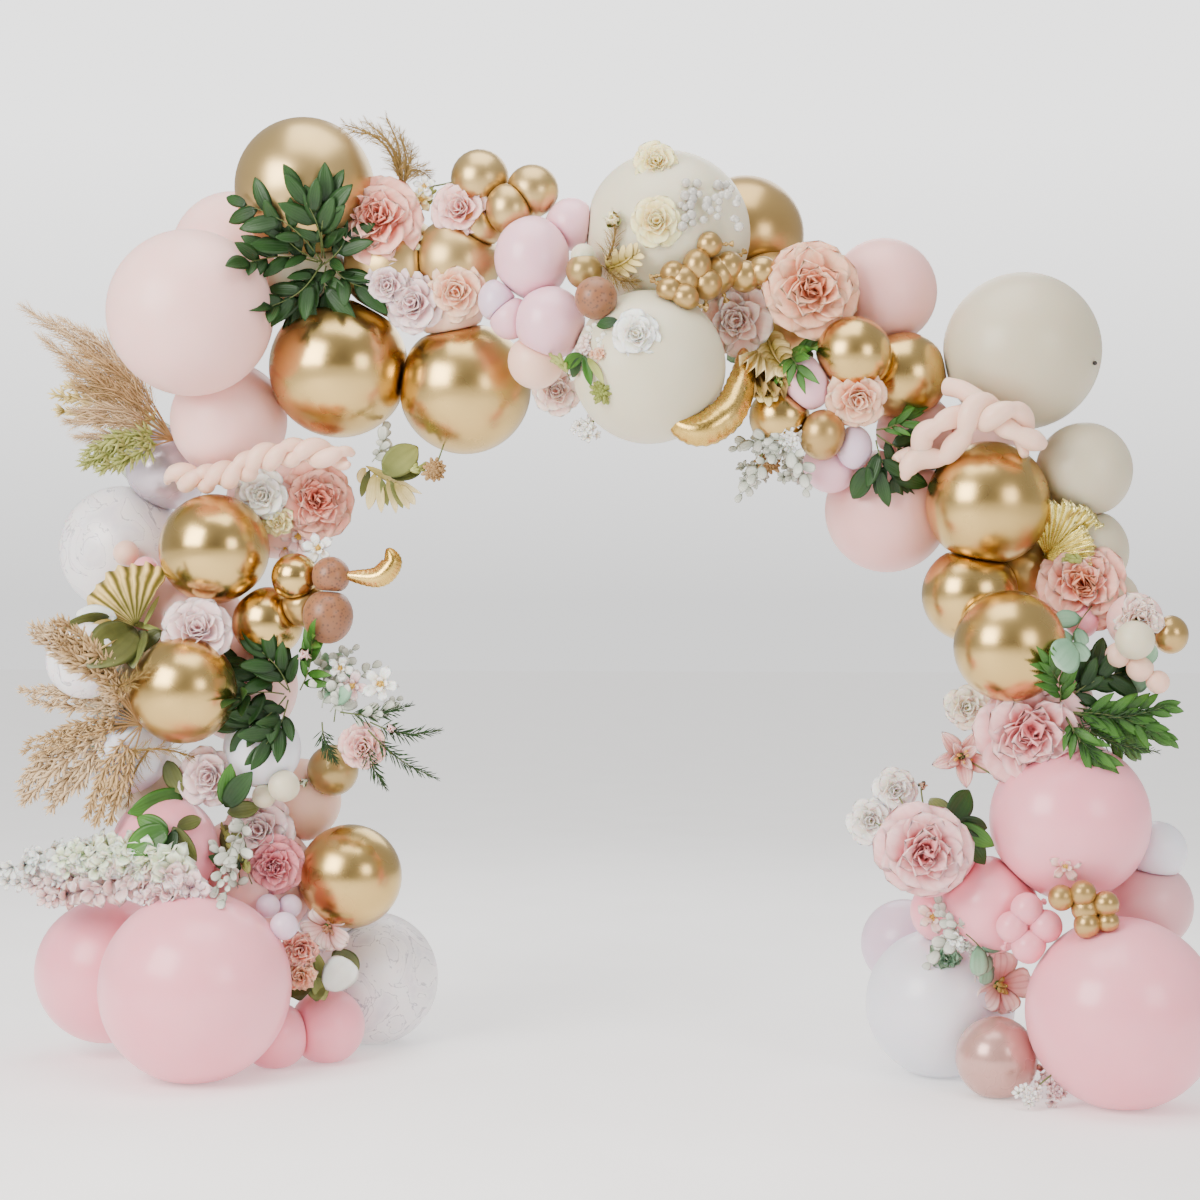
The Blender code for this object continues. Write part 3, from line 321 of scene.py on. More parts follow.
def shaderGroup(name, colours, values):
    group = bpy.data.node_groups.new(name, "ShaderNodeTree")
    for kind, given in (("Color", colours), ("Float", values)):
        for label, value in given.items():
            made = group.interface.new_socket(
                label, in_out="INPUT", socket_type="NodeSocket" + kind)
            made.default_value = value
    for label, kind in (("colour", "Color"), ("roughness", "Float"), ("height", "Float")):
        group.interface.new_socket(label, in_out="OUTPUT", socket_type="NodeSocket" + kind)
    given = group.nodes.new("NodeGroupInput").outputs
    return group, given, group.nodes.new("NodeGroupOutput")


def endGroup(group, end, **values):
    for label, value in values.items():
        group.links.new(value, end.inputs[label])
    return group


def colourOf(value):
    return (*value, 1.0)


latexLooks = {
    "veil": (0.56, 0.52, 0.60), "vein": (0.30, 0.28, 0.34), "speck": (0.13, 0.055, 0.03),
    "bump": 0.05, "bumpDepth": 0.0004, "coatRoughness": 0.12, "clear": 0.55,
    "throughLight": 0.30, "throughDepth": 0.03, "sheen": 0.10}
petalLooks = {
    "rim": (0.95, 0.93, 0.88), "bump": 0.25, "bumpDepth": 0.0006, "roughness": 0.62,
    "leafRoughness": 0.38, "foilRoughness": 0.26, "throughLight": 0.28,
    "throughDepth": 0.012, "leafShine": 0.32}


def latexGroup():
    # stretched latex: faint cloudy thickness, dust specks and a fine stretch grain
    group, given, end = shaderGroup("stretchedLatex", {
        "colour": (0.8, 0.6, 0.6, 1), "deep": (0.7, 0.5, 0.5, 1)}, {
        "cloud": 0.35, "marble": 0.0, "speckle": 0.0, "roughness": 0.35})
    where = put(group, "ShaderNodeTexCoord").outputs["Object"]
    cloud = texture(group, "Noise", where, 4.5, detail=3.0, roughness=0.55)
    fine = texture(group, "Noise", where, 380.0, detail=2.0, roughness=0.6)
    swirl = texture(group, "Noise", where, 7.0, detail=4.0, distortion=2.2)
    dots = texture(group, "Voronoi", where, 105.0)
    colour = given["colour"]
    ridge = maths(group, "ABSOLUTE", maths(group, "SUBTRACT", swirl, 0.5))
    for share, strength, other in (
            (spread(group, cloud, 0.35, 0.7), "cloud", given["deep"]),
            (spread(group, swirl, 0.50, 0.66, 0.0, 0.55), "marble", colourOf(latexLooks["veil"])),
            (spread(group, ridge, 0.014, 0.0), "marble", colourOf(latexLooks["vein"])),
            (spread(group, dots, 0.38, 0.24), "speckle", colourOf(latexLooks["speck"]))):
        colour = mixColour(group, maths(group, "MULTIPLY", share, given[strength]), colour, other)
    dusty = maths(group, "ADD", spread(group, cloud, 0.4, 0.75, -0.04, 0.10), given["roughness"])
    return endGroup(group, end, colour=colour, roughness=dusty, height=fine)


def petalGroup():
    # a petal or leaf along its own map: veins from base to tip, a paler rim and foam grain
    group, given, end = shaderGroup("petalSkin", {
        "base": (0.8, 0.5, 0.5, 1), "tip": (0.9, 0.7, 0.7, 1)}, {
        "veins": 30.0, "veinStrength": 0.25, "rim": 0.2, "grain": 260.0, "roughness": 0.6})
    where = put(group, "ShaderNodeTexCoord").outputs
    split = put(group, "ShaderNodeSeparateXYZ", {0: where["UV"]}).outputs
    grain = texture(group, "Noise", where["Object"], given["grain"], detail=3.0)
    patch = texture(group, "Noise", where["Object"], 22.0, detail=2.0)
    along = maths(group, "ADD", split[1], spread(group, patch, 0.3, 0.7, -0.15, 0.15))
    colour = mixColour(group, spread(group, along, 0.05, 0.85), given["base"], given["tip"])
    stripe = maths(group, "SINE", maths(group, "MULTIPLY", split[0], given["veins"]))
    for share, strength, other in (
            (spread(group, stripe, 0.2, 1.0), "veinStrength", given["base"]),
            (spread(group, split[1], 0.86, 1.0), "rim", colourOf(petalLooks["rim"]))):
        colour = mixColour(group, maths(group, "MULTIPLY", share, given[strength]), colour, other)
    worn = maths(group, "ADD", spread(group, grain, 0.3, 0.7, -0.06, 0.14), given["roughness"])
    return endGroup(group, end, colour=colour, roughness=worn,
                    height=maths(group, "ADD", stripe, grain))


# Balloon finishes: colour, deeper colour, cloud, roughness, metallic, coat
latexFinishes = {
    "softPink": ((0.95, 0.39, 0.46), (0.88, 0.28, 0.36), 0.45, 0.32, 0.0, 0.22),
    "blush": ((0.9, 0.57, 0.53), (0.82, 0.43, 0.39), 0.4, 0.44, 0.0, 0.08),
    "rosePink": ((0.82, 0.46, 0.43), (0.72, 0.36, 0.34), 0.4, 0.42, 0.0, 0.1),
    "mauvePink": ((0.84, 0.5, 0.58), (0.76, 0.4, 0.48), 0.4, 0.34, 0.0, 0.2),
    "dustyPink": ((0.72, 0.4, 0.42), (0.6, 0.3, 0.33), 0.4, 0.38, 0.0, 0.12),
    "cream": ((0.67, 0.62, 0.45), (0.58, 0.52, 0.36), 0.35, 0.42, 0.0, 0.1),
    "sand": ((0.56, 0.5, 0.36), (0.47, 0.41, 0.28), 0.35, 0.44, 0.0, 0.08),
    "white": ((0.8, 0.81, 0.87), (0.64, 0.66, 0.76), 0.4, 0.34, 0.0, 0.18),
    "marble": ((0.86, 0.84, 0.84), (0.74, 0.7, 0.74), 0.4, 0.34, 0.0, 0.18),
    "lilac": ((0.72, 0.56, 0.68), (0.6, 0.44, 0.58), 0.4, 0.34, 0.0, 0.18),
    "lilacPearl": ((0.64, 0.56, 0.62), (0.46, 0.39, 0.46), 0.45, 0.24, 0.5, 0.35),
    "sagePearl": ((0.48, 0.52, 0.38), (0.36, 0.4, 0.28), 0.45, 0.28, 0.3, 0.25),
    "dustyRose": ((0.58, 0.34, 0.29), (0.46, 0.25, 0.22), 0.5, 0.26, 0.4, 0.35),
    "peach": ((0.9, 0.6, 0.46), (0.82, 0.49, 0.37), 0.45, 0.42, 0.0, 0.08),
    "terracotta": ((0.26, 0.105, 0.042), (0.18, 0.07, 0.026), 0.5, 0.45, 0.0, 0.06),
    "oliveGold": ((0.4, 0.28, 0.1), (0.29, 0.19, 0.06), 0.5, 0.34, 0.6, 0.15),
    "matteGold": ((0.5, 0.33, 0.12), (0.38, 0.24, 0.08), 0.5, 0.34, 0.8, 0.1),
    "goldChrome": ((0.62, 0.43, 0.16), (0.5, 0.33, 0.11), 0.45, 0.27, 1.0, 0.0),
    "pearlGold": ((0.58, 0.41, 0.17), (0.46, 0.31, 0.12), 0.5, 0.36, 0.9, 0.1),
    "clearBead": ((0.86, 0.84, 0.78), (0.78, 0.76, 0.7), 0.3, 0.15, 0.0, 0.6),
    # painted shade: a near-black finish that stands for the shade in a balloon's dimple
    "darkRubber": ((0.02, 0.018, 0.015), (0.01, 0.01, 0.01), 0.3, 0.5, 0.0, 0.0),
}
latexMarks = {"marble": {"marble": 0.80}, "terracotta": {"speckle": 0.95}}

# Petal and leaf finishes: base colour, tip colour, veins, vein strength, rim, metallic
petalFinishes = {
    "coralPetal": ((0.66, 0.17, 0.12), (0.94, 0.5, 0.4), 26.0, 0.12, 0.1, 0.0),
    "coralHeart": ((0.62, 0.13, 0.09), (0.86, 0.34, 0.25), 26.0, 0.12, 0.05, 0.0),
    "palePetal": ((0.84, 0.5, 0.44), (0.98, 0.78, 0.7), 24.0, 0.08, 0.15, 0.0),
    "lilacPetal": ((0.6, 0.35, 0.36), (0.92, 0.69, 0.68), 24.0, 0.08, 0.15, 0.0),
    "peachPetal": ((0.64, 0.22, 0.11), (0.93, 0.53, 0.36), 26.0, 0.12, 0.1, 0.0),
    "peachHeart": ((0.58, 0.17, 0.08), (0.84, 0.37, 0.22), 26.0, 0.12, 0.05, 0.0),
    "creamPetal": ((0.88, 0.64, 0.22), (1.0, 0.88, 0.5), 24.0, 0.08, 0.1, 0.0),
    "whitePetal": ((0.9, 0.82, 0.68), (1.0, 0.98, 0.93), 24.0, 0.06, 0.05, 0.0),
    "rosyPetal": ((0.74, 0.3, 0.28), (0.97, 0.6, 0.55), 26.0, 0.1, 0.1, 0.0),
    "shellPetal": ((0.8, 0.46, 0.38), (1.0, 0.78, 0.7), 30.0, 0.14, 0.1, 0.0),
    "apricotPetal": ((0.82, 0.34, 0.2), (1.0, 0.64, 0.46), 26.0, 0.1, 0.1, 0.0),
    "palmLeaf": ((0.42, 0.33, 0.08), (0.97, 0.82, 0.42), 30.0, 0.2, 0.15, 0.0),
    "ivoryPetal": ((0.9, 0.76, 0.54), (1.0, 0.95, 0.83), 24.0, 0.06, 0.05, 0.0),
    "greenWhitePetal": ((0.56, 0.62, 0.34), (0.9, 0.93, 0.74), 20.0, 0.15, 0.1, 0.0),
    "silverPetal": ((0.5, 0.5, 0.46), (0.84, 0.84, 0.8), 20.0, 0.1, 0.1, 0.0),
    "mauvePetal": ((0.52, 0.3, 0.3), (0.86, 0.66, 0.63), 20.0, 0.12, 0.1, 0.0),
    "veinPetal": ((0.5, 0.2, 0.17), (0.97, 0.73, 0.68), 30.0, 0.36, 0.2, 0.0),
    "pinkPetal": ((0.7, 0.22, 0.25), (0.95, 0.58, 0.57), 26.0, 0.12, 0.12, 0.0),
    "pinkHeart": ((0.62, 0.16, 0.18), (0.88, 0.4, 0.4), 26.0, 0.12, 0.05, 0.0),
    "deepPinkPetal": ((0.44, 0.07, 0.11), (0.8, 0.3, 0.33), 26.0, 0.15, 0.08, 0.0),
    "brownPetal": ((0.34, 0.15, 0.08), (0.62, 0.36, 0.24), 24.0, 0.2, 0.1, 0.0),
    "darkLeaf": ((0.008, 0.028, 0.006), (0.02, 0.066, 0.012), 40.0, 0.35, 0.0, 0.0),
    "midLeaf": ((0.02, 0.075, 0.008), (0.06, 0.185, 0.022), 40.0, 0.3, 0.0, 0.0),
    "oliveLeaf": ((0.045, 0.055, 0.012), (0.13, 0.15, 0.04), 34.0, 0.3, 0.1, 0.0),
    "padLeaf": ((0.12, 0.14, 0.035), (0.26, 0.28, 0.08), 20.0, 0.15, 0.0, 0.0),
    "stripedLeaf": ((0.09, 0.09, 0.012), (0.86, 0.64, 0.24), 56.0, 0.95, 0.0, 0.35),
    "limeLeaf": ((0.22, 0.26, 0.05), (0.46, 0.48, 0.16), 30.0, 0.25, 0.0, 0.0),
    "eucalyptus": ((0.13, 0.3, 0.17), (0.26, 0.46, 0.3), 26.0, 0.2, 0.25, 0.0),
    "dustyLeaf": ((0.36, 0.4, 0.32), (0.66, 0.68, 0.6), 26.0, 0.15, 0.15, 0.0),
    "goldLeaf": ((0.4, 0.3, 0.06), (0.88, 0.72, 0.34), 36.0, 0.35, 0.15, 0.45),
    "dryLeaf": ((0.2, 0.12, 0.03), (0.42, 0.28, 0.09), 30.0, 0.35, 0.0, 0.0),
    "pampas": ((0.36, 0.21, 0.09), (0.74, 0.55, 0.33), 6.0, 0.1, 0.1, 0.0),
    "straw": ((0.27, 0.15, 0.05), (0.6, 0.4, 0.19), 6.0, 0.1, 0.0, 0.0),
    "stem": ((0.09, 0.12, 0.03), (0.18, 0.22, 0.07), 8.0, 0.2, 0.0, 0.0),
    "goldFoil": ((0.52, 0.33, 0.07), (0.78, 0.54, 0.17), 12.0, 0.25, 0.05, 1.0),
    "fanFoil": ((0.5, 0.4, 0.08), (0.8, 0.7, 0.26), 12.0, 0.25, 0.05, 0.9),
    "stamen": ((0.6, 0.36, 0.06), (0.88, 0.66, 0.18), 10.0, 0.2, 0.0, 0.0),
}
materials = {}


def newMaterial(name):
    material = bpy.data.materials.new(name + "Finish")
    material.use_nodes = True
    materials[name] = material
    return material.node_tree, material.node_tree.nodes["Principled BSDF"]


def skinned(name, group, values, looks):
    # a finish whose colour, roughness and relief come from one of the two groups
    tree, surface = newMaterial(name)
    skin = put(tree, "ShaderNodeGroup", values, node_tree=group).outputs
    bump = put(tree, "ShaderNodeBump", {
        "Height": skin["height"], "Strength": looks["bump"], "Distance": looks["bumpDepth"]})
    for label, value in (("Base Color", skin["colour"]), ("Roughness", skin["roughness"]),
                         ("Normal", bump.outputs[0])):
        tree.links.new(value, surface.inputs[label])
    return surface.inputs


latexSkin, petalSkin = latexGroup(), petalGroup()
for name, (colour, deep, cloud, roughness, metallic, coat) in latexFinishes.items():
    surface = skinned(name, latexSkin, {
        "colour": colourOf(colour), "deep": colourOf(deep), "cloud": cloud,
        "roughness": roughness, **latexMarks.get(name, {})}, latexLooks)
    surface["Metallic"].default_value = metallic
    surface["Coat Weight"].default_value = coat
    surface["Coat Roughness"].default_value = latexLooks["coatRoughness"]
    if name == "clearBead":
        surface["Transmission Weight"].default_value = latexLooks["clear"]
    elif metallic < 0.2:
        surface["Subsurface Weight"].default_value = latexLooks["throughLight"]
        surface["Subsurface Scale"].default_value = latexLooks["throughDepth"]
        surface["Sheen Weight"].default_value = latexLooks["sheen"]

for name, (base, tip, veins, strength, rim, metallic) in petalFinishes.items():
    kind = ("foilRoughness" if metallic > 0.5
            else "leafRoughness" if name in ("darkLeaf", "midLeaf", "oliveLeaf") else "roughness")
    surface = skinned(name, petalSkin, {
        "base": colourOf(base), "tip": colourOf(tip), "veins": veins,
        "veinStrength": strength, "rim": rim, "roughness": petalLooks[kind]}, petalLooks)
    surface["Metallic"].default_value = metallic
    if name.endswith("Petal"):
        surface["Subsurface Weight"].default_value = petalLooks["throughLight"]
        surface["Subsurface Scale"].default_value = petalLooks["throughDepth"]
    if "Leaf" in name:
        surface["Specular IOR Level"].default_value = petalLooks["leafShine"]
print("finishes made", len(materials))

# Gathering: every part is arrays of points, corners, face sizes, map places and a finish,
# and each piece of the arch is the parts of one CAD node put together
gathered = {}


def asMatrix(origin, facing, size):
    # a frame whose Z looks along facing and whose Y keeps upright
    z = facing.normalized()
    x = up.cross(z)
    x = x.normalized() if x.length > 1e-4 else across.copy()
    turn = Matrix((x, z.cross(x), z)).transposed() * size
    return Matrix.Translation(origin) @ turn.to_4x4()


def leafMatrix(origin, aim, facing, size):
    # a frame whose Y grows along aim and whose Z looks as nearly along facing as it can
    z = (facing - aim * facing.dot(aim)).normalized()
    turn = Matrix((aim.cross(z), aim, z)).transposed().to_4x4()
    return Matrix.Translation(origin) @ turn @ Matrix.Scale(size, 4)


def moved(shape, matrix):
    turn = np.array(matrix.to_3x3())
    return (shape[0] @ turn.T + np.array(matrix.translation), *shape[1:])


def keep(node, shape, matrix=None):
    gathered.setdefault(node, []).append(shape if matrix is None else moved(shape, matrix))


def fromFaces(points, faces, maps, finish):
    corners = np.array([i for face in faces for i in face], dtype=np.int32)
    sizes = np.array([len(face) for face in faces], dtype=np.int32)
    maps = np.asarray(maps, dtype=float)
    return np.asarray(points, dtype=float), corners, sizes, maps[corners], [finish] * len(faces)


def putTogether(*shapes):
    starts = np.cumsum([0] + [len(shape[0]) for shape in shapes])
    corners = [shape[1] + start for shape, start in zip(shapes, starts)]
    points, sizes, maps = (np.concatenate([shape[i] for shape in shapes]) for i in (0, 2, 3))
    finishes = [finish for shape in shapes for finish in shape[4]]
    return points, np.concatenate(corners).astype(np.int32), sizes, maps, finishes


def asMesh(name, shape):
    points, corners, sizes, maps, finishes = shape
    mesh = bpy.data.meshes.new(name)
    mesh.vertices.add(len(points))
    mesh.vertices.foreach_set("co", points.astype(np.float32).ravel())
    mesh.loops.add(len(corners))
    mesh.loops.foreach_set("vertex_index", corners)
    mesh.polygons.add(len(sizes))
    starts = np.concatenate(([0], np.cumsum(sizes)[:-1]))
    mesh.polygons.foreach_set("loop_start", starts.astype(np.int32))
    mesh.polygons.foreach_set("loop_total", sizes)
    order = {finish: index for index, finish in enumerate(sorted(set(finishes)))}
    for finish in order:
        mesh.materials.append(materials[finish])
    mesh.polygons.foreach_set(
        "material_index", np.array([order[finish] for finish in finishes], dtype=np.int32))
    mesh.update(calc_edges=True)
    layer = mesh.uv_layers.new(name="UVMap")
    layer.data.foreach_set("uv", maps.astype(np.float32).ravel())
    mesh.polygons.foreach_set("use_smooth", np.ones(len(sizes), dtype=bool))
    mesh.update()
    return mesh


def fromMesh(mesh):
    def read(rows, name, width, kind):
        values = np.empty(len(rows) * width, dtype=kind)
        rows.foreach_get(name, values)
        return values if width == 1 else values.reshape(-1, width)

    maps = read(mesh.uv_layers[0].data, "uv", 2, float) if mesh.uv_layers else np.zeros(
        (len(mesh.loops), 2))
    names = [material.name.removesuffix("Finish") for material in mesh.materials]
    return (read(mesh.vertices, "co", 3, float), read(mesh.loops, "vertex_index", 1, np.int32),
            read(mesh.polygons, "loop_total", 1, np.int32), maps,
            [names[i] for i in read(mesh.polygons, "material_index", 1, np.int32)])


def revolved(profile, segments, finish):
    # a closed body of turning: the first and last rows of the profile are its poles
    points, maps, faces = [(0, 0, profile[0][1])], [(0.5, 0.0)], []
    rows = len(profile) - 2
    for row, (radius, z) in enumerate(profile[1:-1]):
        for step in range(segments):
            angle = 2 * math.pi * step / segments
            points.append((radius * math.cos(angle), radius * math.sin(angle), z))
            maps.append((step / segments, (row + 1) / (rows + 1)))
    points.append((0, 0, profile[-1][1]))
    maps.append((0.5, 1.0))
    last = len(points) - 1
    for step in range(segments):
        after = (step + 1) % segments
        faces.append((0, 1 + step, 1 + after))
        for low in range(1, last - segments, segments):
            high = low + segments
            faces.append((low + step, high + step, high + after, low + after))
        low = last - segments
        faces.append((low + step, last, low + after))
    return fromFaces(points, faces, maps, finish)


def tube(spine, radii, sides, finish, side=None):
    # a closed tube of round section along points
    points, maps = [], []
    count = len(spine)
    for index, point in enumerate(spine):
        along = (spine[min(index + 1, count - 1)] - spine[max(index - 1, 0)]).normalized()
        x = along.cross(side or up)
        x = x.normalized() if x.length > 1e-4 else along.orthogonal().normalized()
        y = along.cross(x)
        for step in range(sides):
            angle = 2 * math.pi * step / sides
            points.append(point + (x * math.cos(angle) + y * math.sin(angle)) * radii[index])
            maps.append((step / sides, index / (count - 1)))
    top = (count - 1) * sides
    faces = [(low + step, low + after, low + sides + after, low + sides + step)
             for low in range(0, top, sides)
             for step, after in ((step, (step + 1) % sides) for step in range(sides))]
    faces += [tuple(range(sides - 1, -1, -1)), tuple(range(top, top + sides))]
    return fromFaces(points, faces, maps, finish)


def bead(segments, rings, finish, tall=1.0):
    profile = [(math.sin(math.pi * i / rings), tall * math.cos(math.pi * i / rings))
               for i in range(rings + 1)]
    return revolved(profile, segments, finish)


# What a petal or leaf is like where its dictionary says nothing, at unit length
plainBlade = {
    "foot": 0.15, "swell": 0.6, "blunt": 4, "tip": 0.5,  # its outline from foot to tip
    "lift": 0.5, "curl": 0.8, "cup": 0.6, "fold": 0.0,   # how it rises and bends
    "ruffle": 0.0, "waves": 2.5, "dip": 0.0, "thick": 0.02, "rows": 6, "columns": 6}
bladeRules = {"crowding": 1.25, "narrowest": 0.02, "flatterTip": 0.3, "firstWave": 1.3}


def blade(shape, finish):
    # a petal or leaf: it grows along Y, its upper side looks along Z, and it is closed,
    # with a front and a back that share their rim
    given = {**plainBlade, **shape}
    rows, columns, width = given["rows"], given["columns"], given["width"]
    faces, points, maps, back = [], [], [], {}
    for row in range(rows + 1):
        v = 1 - (1 - row / rows) ** bladeRules["crowding"]
        w = width * 0.5 * (given["foot"] * (1 - v) + v ** given["swell"]
                           * (1 - v ** given["blunt"]) ** given["tip"])
        w = max(w, bladeRules["narrowest"] * width)
        bend = given["lift"] * v - given["curl"] * v**3
        for column in range(columns + 1):
            s = 2 * column / columns - 1
            flatter = 1 - bladeRules["flatterTip"] * v
            wave = math.sin(s * given["waves"] * math.pi + bladeRules["firstWave"])
            z = (bend * 0.5 + given["cup"] * (s * s) * w * flatter
                 - given["fold"] * (1 - abs(s)) * w)
            z += given["ruffle"] * v**2 * wave * abs(s) ** 0.5
            points.append((s * w, v - given["dip"] * (1 - s * s) * v**4, z))
            maps.append((column / columns, v))
    for number in range(len(points)):
        row, column = divmod(number, columns + 1)
        back[number] = number
        if 0 < row < rows and 0 < column < columns:
            s = 2 * column / columns - 1
            back[number] = len(points)
            x, y, z = points[number]
            points.append((x, y, z - given["thick"] * (1 - s * s) ** 0.5))
            maps.append(maps[number])
    for row in range(rows):
        for column in range(columns):
            a = row * (columns + 1) + column
            quad = (a, a + 1, a + columns + 2, a + columns + 1)
            faces += [quad, tuple(back[i] for i in reversed(quad))]
    return fromFaces(points, faces, maps, finish)


patterns = {}  # small shapes that the trees below lay out again and again


def pattern(name, shape):
    patterns[name] = bpy.data.objects.new(name, asMesh(name, shape))


# Trees

def newTree(name, inputs):
    tree = bpy.data.node_groups.new(name, "GeometryNodeTree")
    tree.is_modifier = True
    tree.interface.new_socket("Geometry", in_out="INPUT", socket_type="NodeSocketGeometry")
    for label, kind, value in inputs:
        made = tree.interface.new_socket(label, in_out="INPUT", socket_type="NodeSocket" + kind)
        if value is not None:
            made.default_value = value
    tree.interface.new_socket("Geometry", in_out="OUTPUT", socket_type="NodeSocketGeometry")
    return tree, tree.nodes.new("NodeGroupInput").outputs, tree.nodes.new("NodeGroupOutput")


def sumsOf(tree):
    # adding, taking away and multiplying in one tree
    return [functools.partial(maths, tree, name) for name in ("ADD", "SUBTRACT", "MULTIPLY")]


def vectorMaths(tree, operation, one, other=None):
    second = "Scale" if operation == "SCALE" else 1
    given = {0: one} if other is None else {0: one, second: other}
    return put(tree, "ShaderNodeVectorMath", given, operation=operation).outputs["Vector"]


def blend(tree, share, one, other):
    # one where share is 0, other where it is 1
    plus, less, times = sumsOf(tree)
    return plus(one, times(share, less(other, one)))


def wobble(tree, amount, seed, salt):
    node = put(tree, "FunctionNodeRandomValue", {
        2: -1.0, 3: 1.0, "Seed": maths(tree, "ADD", seed, salt)}, data_type="FLOAT")
    return maths(tree, "MULTIPLY", node.outputs[1], amount)


def rowOf(tree, count):
    # the number of each point, and how far it is along the row, from 0 to 1
    index = tree.nodes.new("GeometryNodeInputIndex").outputs[0]
    last = maths(tree, "MAXIMUM", maths(tree, "SUBTRACT", count, 1.0), 1.0)
    return index, maths(tree, "DIVIDE", index, last)


def triple(tree, *values):
    return put(tree, "ShaderNodeCombineXYZ", dict(enumerate(values))).outputs[0]


def worn(tree, shape, material):
    return put(tree, "GeometryNodeSetMaterial", {
        "Geometry": shape.outputs[0], "Material": material}).outputs[0]


def laidOut(tree, points, item, rotation, size, material):
    # an object laid on every point, made real and given its finish
    shape = put(tree, "GeometryNodeObjectInfo", {"Object": item})
    laid = put(tree, "GeometryNodeInstanceOnPoints", {
        "Points": points, "Instance": shape.outputs["Geometry"], "Rotation": rotation,
        "Scale": triple(tree, size, size, size)})
    whole = put(tree, "GeometryNodeRealizeInstances", {"Geometry": laid.outputs[0]})
    return worn(tree, whole, material)


def makeSpiral():
    # petals round a heart: turned from one to the next, wider and flatter outwards
    tree, given, end = newTree("spiralPetals", [
        ("petal", "Object", None), ("count", "Int", 8), ("turn", "Float", 2.4),
        ("innerRadius", "Float", 0.0), ("outerRadius", "Float", 0.1),
        ("innerTilt", "Float", 1.4), ("outerTilt", "Float", 0.4),
        ("innerSize", "Float", 0.5), ("outerSize", "Float", 1.0),
        ("rise", "Float", 0.0), ("wobble", "Float", 0.1), ("seed", "Int", 0),
        ("material", "Material", None)])
    plus, less, times = sumsOf(tree)
    shaken = functools.partial(wobble, tree, given["wobble"], given["seed"])
    line = put(tree, "GeometryNodePoints", {"Count": given["count"]})
    index, share = rowOf(tree, given["count"])
    angle = plus(times(index, given["turn"]), shaken(11.0))
    radius = blend(tree, share, given["innerRadius"], given["outerRadius"])
    place = triple(tree, times(radius, maths(tree, "COSINE", angle)),
                   times(radius, maths(tree, "SINE", angle)),
                   times(given["rise"], less(1.0, share)))
    tilt = plus(blend(tree, share, given["innerTilt"], given["outerTilt"]), shaken(23.0))
    turnTo = triple(tree, tilt, shaken(37.0), less(angle, math.pi / 2))
    size = times(blend(tree, share, given["innerSize"], given["outerSize"]),
                 plus(1.0, shaken(53.0)))
    stand = put(tree, "GeometryNodeSetPosition", {"Geometry": line.outputs[0], "Position": place})
    tree.links.new(laidOut(tree, stand.outputs[0], given["petal"], turnTo, size,
                           given["material"]), end.inputs[0])
    return tree


